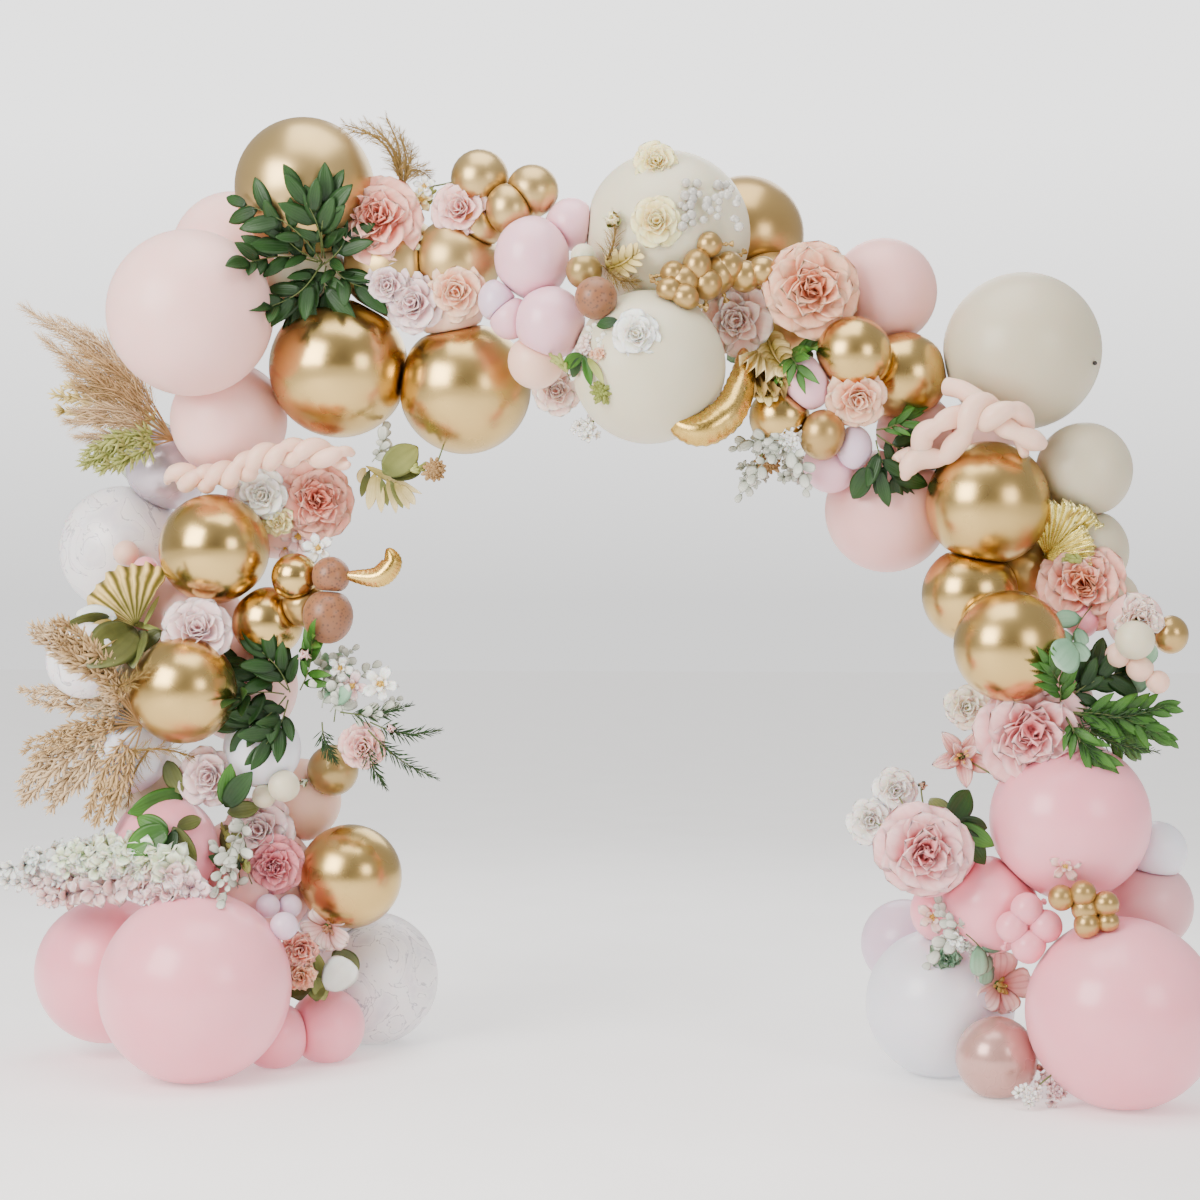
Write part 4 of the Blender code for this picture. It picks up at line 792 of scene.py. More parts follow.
def makePath():
    # a stem along a line of edges, with leaves, florets or barbs that leave it in turn
    tree, given, end = newTree("pathLeaves", [
        ("leaf", "Object", None), ("count", "Int", 20), ("turn", "Float", 2.4),
        ("from", "Float", 0.1), ("baseSpread", "Float", 0.8), ("tipSpread", "Float", 0.3),
        ("baseSize", "Float", 1.0), ("middleSize", "Float", 1.0), ("tipSize", "Float", 0.6),
        ("face", "Vector", (0.0, -1.0, 0.0)), ("wobble", "Float", 0.2), ("seed", "Int", 0),
        ("stemRadius", "Float", 0.002), ("stemMaterial", "Material", None),
        ("material", "Material", None)])
    plus, less, times = sumsOf(tree)
    shaken = functools.partial(wobble, tree, given["wobble"], given["seed"])
    curve = put(tree, "GeometryNodeMeshToCurve", {"Mesh": given["Geometry"]}).outputs[0]
    upper = put(tree, "GeometryNodeTrimCurve", {0: curve, 2: given["from"]}, mode="FACTOR")
    dots = put(tree, "GeometryNodeCurveToPoints", {0: upper.outputs[0], 1: given["count"]},
               mode="COUNT")
    tangent = put(tree, "GeometryNodeCaptureAttribute", {"Geometry": dots.outputs["Points"]})
    tangent.capture_items.new("VECTOR", "Tangent")
    tree.links.new(dots.outputs["Tangent"], tangent.inputs[1])
    points, along = tangent.outputs[0], tangent.outputs[1]
    index, share = rowOf(tree, given["count"])
    side = vectorMaths(tree, "NORMALIZE", vectorMaths(
        tree, "CROSS_PRODUCT", along, given["face"]))
    off = vectorMaths(tree, "CROSS_PRODUCT", side, along)

    def turnedBetween(one, other, angle):
        return vectorMaths(
            tree, "ADD", vectorMaths(tree, "SCALE", one, maths(tree, "COSINE", angle)),
            vectorMaths(tree, "SCALE", other, maths(tree, "SINE", angle)))

    roll = plus(times(index, given["turn"]), shaken(5.0))
    spreadBy = plus(blend(tree, share, given["baseSpread"], given["tipSpread"]), shaken(17.0))
    aim = turnedBetween(along, turnedBetween(side, off, roll), spreadBy)
    first = put(tree, "FunctionNodeAlignRotationToVector", {"Vector": aim}, axis="Y")
    second = put(tree, "FunctionNodeAlignRotationToVector", {
        "Rotation": first.outputs[0], "Vector": given["face"]}, axis="Z", pivot_axis="Y")
    doubled = times(share, 2.0)
    lower = blend(tree, maths(tree, "MINIMUM", doubled, 1.0),
                  given["baseSize"], given["middleSize"])
    size = times(
        blend(tree, maths(tree, "MAXIMUM", less(doubled, 1.0), 0.0), lower, given["tipSize"]),
        plus(1.0, wobble(tree, times(given["wobble"], 0.7), given["seed"], 29.0)))
    leaves = laidOut(tree, points, given["leaf"], second.outputs[0], size, given["material"])
    way = tree.nodes.new("GeometryNodeSplineParameter").outputs["Factor"]
    ring = put(tree, "GeometryNodeCurvePrimitiveCircle", {
        "Resolution": 5, "Radius": given["stemRadius"]})
    stem = put(tree, "GeometryNodeCurveToMesh", {
        "Curve": curve, "Profile Curve": ring.outputs[0], "Fill Caps": True})
    if "Scale" in stem.inputs:
        tree.links.new(blend(tree, way, 1.0, 0.4), stem.inputs["Scale"])
    both = tree.nodes.new("GeometryNodeJoinGeometry")
    for shape in (leaves, worn(tree, stem, given["stemMaterial"])):
        tree.links.new(shape, both.inputs[0])
    tree.links.new(both.outputs[0], end.inputs[0])
    return tree


spiralTree, pathTree = makeSpiral(), makePath()


def grow(tree, settings, line=()):
    # what a tree makes from its settings, as arrays
    mesh = bpy.data.meshes.new("seedMesh")
    mesh.from_pydata([tuple(point) for point in line],
                     [(i, i + 1) for i in range(len(line) - 1)], [])
    item = bpy.data.objects.new("seedObject", mesh)
    bpy.context.scene.collection.objects.link(item)
    modifier = item.modifiers.new("grow", "NODES")
    modifier.node_group = tree
    names = {row.name: row.identifier for row in tree.interface.items_tree
             if row.item_type == "SOCKET" and row.in_out == "INPUT"}
    for label, value in settings.items():
        modifier[names[label]] = value
    ready = item.evaluated_get(bpy.context.evaluated_depsgraph_get())
    grown = bpy.data.meshes.new_from_object(ready)
    shape = fromMesh(grown)
    bpy.data.objects.remove(item)
    bpy.data.meshes.remove(mesh)
    bpy.data.meshes.remove(grown)
    return shape


# Petals and leaves, each of unit length
petalShapes = {
    "foamPetal": dict(width=1.55, lift=0.30, curl=0.62, cup=0.22, ruffle=0.035, waves=1.6,
                      blunt=5, swell=0.35, foot=0.45, thick=0.06, rows=5),
    "wrapPetal": dict(width=1.25, lift=0.15, curl=0.42, cup=1.05, ruffle=0.02, waves=1.4,
                      blunt=6, swell=0.30, foot=0.5, thick=0.06, rows=5),
    "frillPetal": dict(width=1.05, lift=0.30, curl=0.55, cup=0.55, ruffle=0.10, waves=2.4,
                       blunt=5, swell=0.40, foot=0.35, thick=0.06, rows=4, columns=8),
    "blossomPetal": dict(width=0.80, lift=0.30, curl=0.40, cup=0.35, ruffle=0.03, dip=0.10,
                         thick=0.03, rows=3, columns=4),
    "lilyPetal": dict(width=0.92, curl=0.70, cup=0.20, fold=0.18, blunt=2.0, tip=0.8,
                      ruffle=0.03, waves=3.0, thick=0.03),
    "broadPetal": dict(width=1.30, lift=0.35, curl=0.55, cup=0.12, ruffle=0.06, waves=2.2,
                       dip=0.08, blunt=5, swell=0.8, thick=0.03, rows=7, columns=8),
    "budPetal": dict(width=0.75, lift=0.30, curl=-0.25, cup=0.9, blunt=2.5, thick=0.03,
                     columns=4),
    "ruscusLeaf": dict(width=0.74, lift=0.22, curl=0.40, cup=0.0, fold=0.22, blunt=1.9,
                       tip=0.85, swell=0.55, foot=0.05, thick=0.010, rows=7, columns=4),
    "willowLeaf": dict(width=0.60, lift=0.20, curl=0.45, cup=0.0, fold=0.22, blunt=1.6,
                       tip=1.0, foot=0.04, thick=0.010, rows=7, columns=4),
    "husk": dict(width=0.30, lift=0.35, curl=0.60, cup=0.5, blunt=1.6, thick=0.05, rows=2,
                 columns=2),
    "roundLeaf": dict(width=0.95, lift=0.10, curl=0.15, cup=0.10, fold=-0.08, blunt=3.0,
                      swell=0.50, foot=0.05, thick=0.012, rows=5, columns=4),
    "needle": dict(width=0.13, lift=0.15, curl=0.25, cup=0.1, blunt=1.4, thick=0.05, rows=3,
                   columns=2),
    "barb": dict(width=0.09, lift=0.35, curl=0.55, cup=0.1, blunt=1.2, thick=0.04, rows=2,
                 columns=2),
    "finger": dict(width=0.22, lift=0.20, curl=0.42, cup=0.0, fold=0.10, blunt=3.0,
                   swell=0.25, foot=0.7, thick=0.006, rows=7, columns=4),
}


def turnedBlade(name, tilt, angle, size, origin=(0, 0, 0)):
    matrix = (Matrix.Translation(origin) @ Matrix.Rotation(angle, 4, "Z")
              @ Matrix.Rotation(tilt, 4, "X") @ Matrix.Scale(size, 4))
    return moved(blade(petalShapes[name], "stem"), matrix)


def littleBlossom():
    return putTogether(*[
        turnedBlade("blossomPetal", 0.55, math.tau * i / 5, 1.0) for i in range(5)])


def feather():
    # a grass branchlet: a thin stalk with short barbs on either side
    parts = [turnedBlade("barb", 0.1, 0.0, 1.0)]
    for i in range(4):
        reach = 0.18 + 0.18 * i
        for way in (-1, 1):
            parts.append(turnedBlade("barb", 0.12, way * 0.55, 0.34 - 0.03 * i,
                                     (0, reach + 0.04 * way, 0.06 * reach)))
    return putTogether(*parts)


def tuft():
    # a husk with smaller ones on either side
    parts = [turnedBlade("husk", 0.1, 0.0, 1.0)]
    for turn, reach, size in ((0.5, 0.10, 0.80), (-0.5, 0.18, 0.75),
                              (0.9, 0.30, 0.55), (-0.9, 0.40, 0.50)):
        parts.append(turnedBlade("husk", 0.15, turn, size, (0, reach, 0.02)))
    return putTogether(*parts)


def seedGrain():
    place = Matrix.Translation((0, 0.4, 0)) @ Matrix.Rotation(-math.pi / 2, 4, "X")
    return moved(bead(6, 5, "straw", 2.2), place @ Matrix.Scale(0.2, 4))


for name, shape in petalShapes.items():
    pattern(name, blade(shape, "stem"))
for make in (littleBlossom, feather, tuft, seedGrain):
    pattern(make.__name__, make())
print("patterns made", len(patterns))

# Kinds of flowers, whorl by whorl from the outside: petal, how many, then radius, tilt and
# size from the first petal to the last, and what else is set. A heart takes the flower's
# heart finish, or else the one named here; salt is what tells the whorls' seeds apart
flowerKinds = {
    "peony": [
        ("foamPetal", 7, (0.36, 0.38), (0.26, 0.16), (0.60, 0.66),
         dict(turn=math.tau / 7 + 0.02)),
        ("foamPetal", 7, (0.28, 0.31), (0.55, 0.45), (0.54, 0.58),
         dict(turn=math.tau / 7 + 0.03, rise=0.06)),
        ("frillPetal", 13, (0.14, 0.30), (1.15, 0.72), (0.44, 0.52),
         dict(rise=0.10, wobble=0.16)),
        ("frillPetal", 17, (0.0, 0.22), (1.60, 1.05), (0.34, 0.44),
         dict(rise=0.16, wobble=0.34, heart=None))],
    "rose": [
        ("foamPetal", 6, (0.36, 0.40), (0.24, 0.14), (0.60, 0.66),
         dict(turn=math.tau / 6 + 0.04)),
        ("foamPetal", 6, (0.27, 0.31), (0.58, 0.46), (0.54, 0.58),
         dict(turn=math.tau / 6 + 0.04, rise=0.05)),
        ("wrapPetal", 5, (0.20, 0.24), (0.95, 0.82), (0.48, 0.52),
         dict(turn=math.tau / 5 + 0.04, rise=0.08, wobble=0.06)),
        ("wrapPetal", 4, (0.11, 0.14), (1.22, 1.12), (0.42, 0.45),
         dict(turn=math.tau / 4 + 0.04, rise=0.12, wobble=0.06)),
        ("wrapPetal", 3, (0.03, 0.06), (1.48, 1.38), (0.38, 0.40),
         dict(turn=math.tau / 3, rise=0.15, wobble=0.05, heart=None))],
    "wound": [  # a ribbon rose: one long spiral of low petals
        ("foamPetal", 6, (0.36, 0.38), (0.24, 0.14), (0.60, 0.64),
         dict(turn=math.tau / 6 + 0.03, wobble=0.05)),
        ("wrapPetal", 16, (0.02, 0.33), (1.48, 0.52), (0.34, 0.52),
         dict(turn=1.22, rise=0.15, wobble=0.04))],
    "blossom": [
        ("blossomPetal", 5, (0.06, 0.06), (0.35, 0.35), (0.95, 0.95),
         dict(turn=math.tau / 5, wobble=0.12)),
        ("blossomPetal", 4, (0.04, 0.04), (0.95, 0.85), (0.55, 0.60),
         dict(turn=math.tau / 4, wobble=0.12)),
        ("seedGrain", 14, (0.0, 0.12), (1.55, 1.1), (0.26, 0.34),
         dict(rise=0.1, finish="stamen"))],
    "lily": [
        ("lilyPetal", 5, (0.04, 0.04), (0.40, 0.30), (1.05, 1.12),
         dict(turn=math.tau / 5 + 0.001)),
        ("lilyPetal", 4, (0.03, 0.03), (0.85, 0.75), (0.70, 0.78),
         dict(turn=math.tau / 4 + 0.001, rise=0.05, wobble=0.15, salt=3)),
        ("barb", 9, (0.02, 0.05), (1.45, 1.10), (0.55, 0.65),
         dict(wobble=0.25, heart="goldLeaf", salt=1)),
        ("seedGrain", 8, (0.10, 0.22), (1.2, 0.9), (0.22, 0.26),
         dict(rise=0.45, wobble=0.3, finish="stamen", salt=2))],
    "hibiscus": [
        ("broadPetal", 5, (0.05, 0.05), (0.42, 0.28), (1.0, 1.1),
         dict(turn=math.tau / 5 + 0.001, wobble=0.12)),
        ("seedGrain", 12, (0.0, 0.12), (1.5, 1.0), (0.30, 0.38),
         dict(rise=0.2, wobble=0.3, heart="brownPetal", salt=2))],
    "bud": [
        ("budPetal", 5, (0.02, 0.16), (1.50, 1.32), (1.15, 1.25), dict(wobble=0.05)),
        ("budPetal", 3, (0.22, 0.24), (1.15, 1.05), (0.72, 0.78),
         dict(turn=math.tau / 3, heart="midLeaf"))],
    "ruffled": [
        ("frillPetal", 12, (0.10, 0.22), (0.62, 0.36), (0.72, 0.84), dict(wobble=0.15)),
        ("frillPetal", 16, (0.02, 0.22), (1.35, 0.85), (0.52, 0.66),
         dict(rise=0.12, wobble=0.3))],
    "seedHead": [
        ("seedGrain", 60, (0.05, 0.45), (1.55, 0.35), (0.75, 0.70),
         dict(wobble=0.15, rise=0.30))],
    "blossomBall": [
        ("littleBlossom", 9, (0.05, 0.55), (0.05, -0.75), (0.42, 0.40),
         dict(wobble=0.25, rise=0.35))],
}


def petals(whorl, finish, deep, seed):
    petal, count, radius, tilt, size, more = whorl
    if "heart" in more:
        finish = deep or more["heart"] or finish
    settings = {
        "petal": patterns[petal], "count": count, "turn": more.get("turn", goldenTurn),
        "rise": more.get("rise", 0.0), "wobble": more.get("wobble", 0.10), "seed": seed,
        "material": materials[more.get("finish", finish)]}
    for label, (inner, outer) in (("Radius", radius), ("Tilt", tilt), ("Size", size)):
        settings["inner" + label], settings["outer" + label] = inner, outer
    return grow(spiralTree, settings)


# Flowers: middle and radius in steps of the photograph, kind, petals and, if it differs, heart
flowers = [
    ("flowers_top_left", [
        (375, 216, 43, "peony", "coralPetal", "coralHeart"), (458, 207, 29, "rose", "rosyPetal"),
        (412, 304, 31, "rose", "lilacPetal"), (387, 285, 23, "rose", "lilacPetal"),
        (456, 291, 30, "rose", "apricotPetal"), (421, 199, 12, "blossom", "creamPetal"),
        (424, 186, 10, "blossom", "whitePetal"), (412, 240, 10, "blossom", "creamPetal")]),
    ("flowers_upper_left", [
        (261, 495, 27, "rose", "whitePetal", "ivoryPetal"),
        (318, 500, 37, "peony", "coralPetal", "coralHeart"),
        (278, 522, 15, "ruffled", "creamPetal"), (298, 537, 16, "blossom", "lilacPetal"),
        (318, 548, 14, "blossom", "whitePetal"), (285, 548, 11, "blossom", "lilacPetal")]),
    ("rose_and_monstera_left", [(197, 626, 36, "rose", "lilacPetal")]),
    ("flowers_lower_left", [
        (207, 777, 31, "rose", "lilacPetal"), (257, 830, 36, "rose", "lilacPetal"),
        (274, 866, 28, "peony", "deepPinkPetal", "deepPinkPetal"),
        (304, 783, 14, "bud", "greenWhitePetal", "midLeaf"),
        (326, 930, 26, "hibiscus", "veinPetal", "brownPetal"),
        (300, 950, 19, "ruffled", "coralPetal"), (300, 976, 16, "ruffled", "peachPetal")]),
    ("leaf_bunch_left", [
        (305, 655, 19, "bud", "pinkPetal", "midLeaf"), (363, 747, 24, "rose", "rosyPetal"),
        (392, 728, 14, "bud", "pinkPetal", "midLeaf"), (380, 684, 16, "blossom", "whitePetal"),
        (352, 686, 14, "blossom", "lilacPetal"), (340, 668, 12, "blossom", "whitePetal")]),
    ("flowers_top", [
        (656, 160, 22, "rose", "creamPetal"), (656, 220, 25, "rose", "creamPetal"),
        (614, 220, 21, "bud", "creamPetal", "limeLeaf"),
        (636, 334, 23, "rose", "whitePetal", "ivoryPetal"),
        (586, 349, 13, "blossomBall", "palePetal"), (600, 354, 11, "blossomBall", "peachPetal"),
        (594, 331, 8, "blossom", "ivoryPetal"), (604, 341, 8, "blossom", "ivoryPetal"),
        (556, 391, 25, "rose", "palePetal"), (602, 391, 12, "seedHead", "limeLeaf"),
        (586, 428, 15, "blossomBall", "whitePetal"), (575, 372, 9, "blossom", "whitePetal")]),
    ("flowers_top_right", [
        (733, 324, 36, "wound", "shellPetal"),
        (813, 288, 45, "peony", "peachPetal", "peachHeart")]),
    ("flowers_right_shoulder", [
        (857, 402, 30, "rose", "apricotPetal"), (770, 447, 18, "blossomBall", "dustyLeaf"),
        (790, 436, 15, "blossomBall", "whitePetal"), (752, 476, 16, "blossomBall", "dustyLeaf"),
        (795, 470, 17, "blossomBall", "dustyLeaf"), (768, 462, 13, "seedHead", "straw")]),
    ("flowers_right_upper", [
        (1082, 582, 41, "peony", "coralPetal", "peachHeart"),
        (1140, 618, 22, "ruffled", "palePetal")]),
    ("flowers_right_middle", [
        (1032, 735, 50, "peony", "pinkPetal", "pinkHeart"), (968, 708, 23, "rose", "ivoryPetal"),
        (963, 757, 30, "lily", "veinPetal", "coralPetal")]),
    ("flowers_right_lower", [
        (896, 790, 23, "rose", "whitePetal"), (871, 821, 25, "rose", "whitePetal"),
        (922, 785, 12, "bud", "brownPetal", "oliveLeaf"),
        (926, 853, 42, "peony", "pinkPetal", "pinkHeart"),
        (933, 917, 14, "blossom", "palePetal"), (956, 938, 18, "blossomBall", "whitePetal"),
        (946, 958, 15, "ruffled", "eucalyptus"), (978, 950, 14, "blossomBall", "dustyLeaf"),
        (1002, 986, 30, "hibiscus", "veinPetal", "goldLeaf")]),
    ("pink_four_ball_flower", [(1066, 866, 13, "blossom", "rosyPetal")]),
    ("flowers_upper_left", [(434, 470, 12, "seedHead", "straw")]),
    ("lilac_flowers_at_the_floor", [
        (1048, 1080, 15, "blossomBall", "lilacPetal"),
        (1030, 1094, 13, "blossomBall", "whitePetal"),
        (1056, 1092, 13, "blossomBall", "lilacPetal")]),
]
flowerRules = {
    "sink": 0.5, "low": 0.36,      # how deep a head sits, by its radius
    "turn": 2.4,                   # how much more it looks forward than off its balloon
    "size": 1.04, "reach": 95,     # the percentile of its points that reaches the radius
    "floor": 1.30, "lean": 0.8,    # the lowest heads stand this high and lean back
    "spin": 1.3, "whorlSpin": 0.55,
    # the ball inside a full or an open head: segments, rings, height, size
    "fullHeart": (16, 8, 0.35, 0.55), "openHeart": (10, 6, 0.8, 0.2),
    "proud": {(733, 324): 0.065, (857, 402): 0.045, (412, 304): 0.020}}
wireRules = {"radius": 0.0022, "root": 0.95, "bend": 0.45, "steps": 6, "sides": 6}
heads = []


def wireTo(node, centre, facing, size):
    # a head that no balloon holds sits on a wire that comes out from the nearest one
    against = min(placed, key=lambda body: (body["centre"] - centre).length - body["radius"])
    away = centre - against["centre"]
    gap = away.length - against["radius"]
    if gap <= size or node.startswith("leaf"):
        return
    root = against["centre"] + away.normalized() * (against["radius"] * wireRules["root"])
    bend = centre - facing * gap * wireRules["bend"]
    spine = []
    for step in range(wireRules["steps"] + 1):
        share = step / wireRules["steps"]
        spine.append(root.lerp(bend, share).lerp(bend.lerp(centre, share), share))
    keep(node, tube(spine, [wireRules["radius"]] * len(spine), wireRules["sides"], "stem"))


for number, (node, u, v, radius, kind, finish, *deep) in enumerate(eachRow(flowers)):
    place = onFace(u, v)
    size = radius * view["metresPerStep"]
    centre, off = touch(place, size * flowerRules["sink"], touchRules["foamPress"])
    low = size * flowerRules["floor"]
    if centre.z < low:
        line = sightLine(*place)
        centre = eye + line * ((low - eye.z) / line.z)
        off = -forward + up * flowerRules["lean"]
    centre = centre - forward * flowerRules["proud"].get((u, v), 0.0)
    facing = (off - forward * flowerRules["turn"]).normalized()
    heads.append((node, place, centre, facing, size))
    matrix = asMatrix(centre - facing * size * flowerRules["low"], facing,
                      size * flowerRules["size"])
    matrix = matrix @ Matrix.Rotation(number * flowerRules["spin"], 4, "Z")
    whorls = []
    for level, whorl in enumerate(flowerKinds[kind]):
        seed = 10 * number + whorl[-1].get("salt", level)
        spun = Matrix.Rotation(flowerRules["whorlSpin"] * level, 4, "Z")
        whorls.append(moved(petals(whorl, finish, deep and deep[0], seed), spun))
    whole = putTogether(*whorls)
    if kind != "bud":
        wide = np.hypot(whole[0][:, 0], whole[0][:, 1])
        matrix = matrix @ Matrix.Scale(1 / np.percentile(wide, flowerRules["reach"]), 4)
    keep(node, whole, matrix)
    full = kind in ("peony", "rose", "wound")
    segments, rings, tall, wide = flowerRules["fullHeart" if full else "openHeart"]
    keep(node, bead(segments, rings, finish if full else "midLeaf", tall),
         matrix @ Matrix.Scale(wide, 4))
    wireTo(node, centre, facing, size)
print("flowers made", len(heads))

# Balloons' shapes
balloonRules = {
    # from this radius on: segments round, rings from the crown to the neck
    "rounds": ((0.14, 60, 36), (0.075, 42, 26), (0.0, 26, 17)),
    "knot": 0.0042,        # radius of the smallest knot
    "knotGrowth": 0.018,   # and how much it grows with the balloon
    "puckers": 9,
    "puckerDepth": 0.10,
    "puckerFrom": 0.93,    # how far down, in radii, the puckers begin
    "neckFrom": math.radians(171),
    "narrowing": 0.10,     # how the ball draws in and lengthens towards its neck
    "lengthening": 0.05,
    "neckWidth": 0.62,     # in knot radii
    "neckLength": 0.015,   # in balloon radii, and a knot radius more
    "knotReach": 0.50,     # knots stay this near to the arch's own depth
    "knotWays": 90,        # directions that are tried for a knot
    "backwards": 0.15,     # and how far back it has to look
    "knotRoom": 0.02,      # what a knot needs around itself
    "knotLength": 0.025,
    "backBonus": 0.012,    # how many metres of room looking straight back is worth
    "inside": 0.3,         # centres nearer than this many radii are one balloon inside another
    "bubble": 0.048,       # up to this radius bubbles of one node stay round where they meet
}
# A knot's outline below the neck, in knot radii: radius and how far down
knotLine = ((0.95, 0.35), (1.12, 0.8), (0.95, 1.3), (0.55, 1.6), (0.62, 2.2), (1.0, 3.0),
            (1.45, 3.8), (1.62, 4.1), (1.55, 4.35), (1.2, 4.1), (0.0, 3.2))


def balloonShape(radius, finish):
    segments, rings = next((s, r) for least, s, r in balloonRules["rounds"] if radius >= least)
    knot = balloonRules["knot"] + balloonRules["knotGrowth"] * radius
    rows = [(0.0, radius)]
    for i in range(1, rings + 1):
        angle = balloonRules["neckFrom"] * i / rings
        taper = (0.5 - 0.5 * math.cos(angle)) ** 6
        rows.append((radius * math.sin(angle) * (1 - balloonRules["narrowing"] * taper),
                     radius * math.cos(angle) * (1 + balloonRules["lengthening"] * taper)))
    wide, low = rows[-1]
    for share in (0.35, 0.7, 1.0):
        rows.append((wide * (1 - share) + balloonRules["neckWidth"] * knot * share,
                     low - (balloonRules["neckLength"] * radius + knot) * share**1.5))
    low = rows[-1][1]
    rows += [(knot * width, low - knot * drop) for width, drop in knotLine]
    shape = revolved(rows, segments, finish)
    points = shape[0]
    turnOf = np.arctan2(points[:, 1], points[:, 0])
    start = balloonRules["puckerFrom"]
    near = np.clip((-points[:, 2] / radius - start) / (1 - start), 0, 1)
    points[:, :2] *= (1 + balloonRules["puckerDepth"] * near
                      * np.sin(balloonRules["puckers"] * turnOf))[:, None]
    # the ball itself, without its knot, is what neighbours press flat
    return shape, 1 + segments * rings


def axesOf(body):
    wide = body["oval"] ** 0.5
    return Vector((1 / wide, 1.0, wide)) * body["radius"]


def softly(depth):
    soft = touchRules["softness"]
    return -soft * np.logaddexp(0.0, -depth / soft)


def knotWay(body):
    best, way = None, None
    room, ways = balloonRules["knotRoom"], balloonRules["knotWays"]
    for i in range(ways):
        z = 1 - (2 * i + 1) / ways
        flat = math.sqrt(1 - z * z)
        turn = i * goldenTurn
        direction = Vector((flat * math.cos(turn), flat * math.sin(turn), z))
        tip = body["centre"] + direction * (body["radius"] + room)
        deep = tip.y + balloonRules["knotLength"] - view["moved"].y
        if direction.dot(forward) < balloonRules["backwards"] or deep > balloonRules["knotReach"]:
            continue
        clear = min([tip.z - room] + [(tip - other["centre"]).length - other["radius"]
                                      for other in placed if other is not body])
        score = min(clear, room) + balloonRules["backBonus"] * direction.dot(forward)
        if best is None or score > best:
            best, way = score, direction
    return way


planes = {id(body): [] for body in placed}
for i, one in enumerate(placed):
    for other in placed[i + 1:]:
        gap = other["centre"] - one["centre"]
        way = gap.normalized()
        near = one["centre"].dot(way) + (way * axesOf(one)).length
        far = other["centre"].dot(way) - (way * axesOf(other)).length
        larger = max(one["radius"], other["radius"])
        if near <= far or gap.length < balloonRules["inside"] * larger:
            continue
        if one["node"] == other["node"] and larger < balloonRules["bubble"]:
            continue
        share = other["radius"] / (one["radius"] + other["radius"])
        level = near - (near - far) * share
        planes[id(one)].append((way, level - touchRules["gap"]))
        planes[id(other)].append((-way, -level - touchRules["gap"]))

for body in placed:
    shape, pressable = balloonShape(body["radius"], body["finish"])
    turn = np.array((-knotWay(body)).to_track_quat("Z", "Y").to_matrix())
    stretch = np.array(axesOf(body)) / body["radius"]
    points = (shape[0] @ turn.T) * stretch + np.array(body["centre"])
    ballPart = points[:pressable]
    for way, level in planes[id(body)]:
        direction = np.array(way)
        depth = ballPart @ direction - level
        ballPart += np.outer(softly(depth) - depth, direction)
    if ballPart[:, 2].min() < 0.02:
        ballPart[:, 2] = -softly(-ballPart[:, 2])
    keep(body["node"], (points, *shape[1:]))
print("balloons shaped", len(placed))


def smoothPoint(points, share):
    spans = len(points) - 1
    place = min(share * spans, spans - 1e-6)
    index = int(place)
    t = place - index
    p0, p1, p2 = points[max(index - 1, 0)], points[index], points[index + 1]
    p3 = points[min(index + 2, spans)]
    return 0.5 * (2 * p1 + (p2 - p0) * t + (2 * p0 - 5 * p1 + 4 * p2 - p3) * t**2
                  + (3 * p1 - p0 - 3 * p2 + p3) * t**3)


def lengthOf(points):
    return sum((b - a).length for a, b in zip(points, points[1:]))


def wayOf(places):
    return [spot(onFace(u, v), depth) for u, v, depth in places]


# Braids of two twisted modelling balloons: places on the photograph with their depth
braids = {
    "peach_braid_left": {
        "strand": 0.0215, "swing": 0.0165, "open": 0.0, "pitch": 0.062, "way": [
            (169, 475, 0.05), (200, 479, 0.00), (233, 473, -0.03), (267, 457, -0.06),
            (307, 452, -0.07), (351, 459, -0.07)]},
    "peach_braid_right": {
        "strand": 0.0265, "swing": 0.0225, "open": 0.036, "pitch": 0.080, "way": [
            (900, 468, -0.05), (926, 452, -0.08), (953, 430, -0.11), (983, 412, -0.13),
            (1013, 420, -0.13), (1034, 450, -0.10)]},
}
braidRules = {
    "stepsPerTurn": 16, "sides": 20,
    "openAt": 0.28, "openSpan": 0.13,  # where the strands part round an opening
    "thin": 0.66, "full": 0.34,        # a strand's thickness where it is pinched, and the rest
    "end": 0.40, "endGrowth": 8,
}
for node, braid in braids.items():
    line = wayOf(braid["way"])
    turns = lengthOf(line) / braid["pitch"]
    steps = int(turns * braidRules["stepsPerTurn"])
    for strand in range(2):
        spine, radii = [], []
        for step in range(steps + 1):
            share = step / steps
            middle = smoothPoint(line, share)
            before, after = (smoothPoint(line, min(max(share + more, 0), 1))
                             for more in (-0.01, 0.01))
            along = (after - before).normalized()
            side = along.cross(forward).normalized()
            parted = math.exp(-((share - braidRules["openAt"]) / braidRules["openSpan"]) ** 2)
            parted *= braid["open"] > 0
            angle = math.pi * (turns * share + strand)
            swing = braid["swing"] * (1 - parted)
            out = math.cos(angle) * swing + (1 - 2 * strand) * braid["open"] * parted
            spine.append(middle + side * out + side.cross(along) * math.sin(angle) * swing)
            pinch = abs(math.sin(math.pi * (turns * share + 0.25 + strand * 0.5)))
            close = min(1.0, braidRules["endGrowth"] * min(share, 1 - share) + braidRules["end"])
            thick = braidRules["thin"] + braidRules["full"] * pinch ** 0.7
            radii.append(braid["strand"] * thick * close)
        keep(node, tube(spine, radii, braidRules["sides"], "peach", forward))

# the loose end of the right braid
line = wayOf([(944, 386, -0.07), (962, 390, -0.10), (982, 402, -0.12)])
steps = 24
spine = [smoothPoint(line, i / steps) for i in range(steps + 1)]
radii = [0.022 * min(1.0, 0.4 + 5 * min(i, steps - i) / steps) for i in range(steps + 1)]
keep("peach_braid_right", tube(spine, radii, braidRules["sides"], "peach", forward))
print("braids made", len(braids))

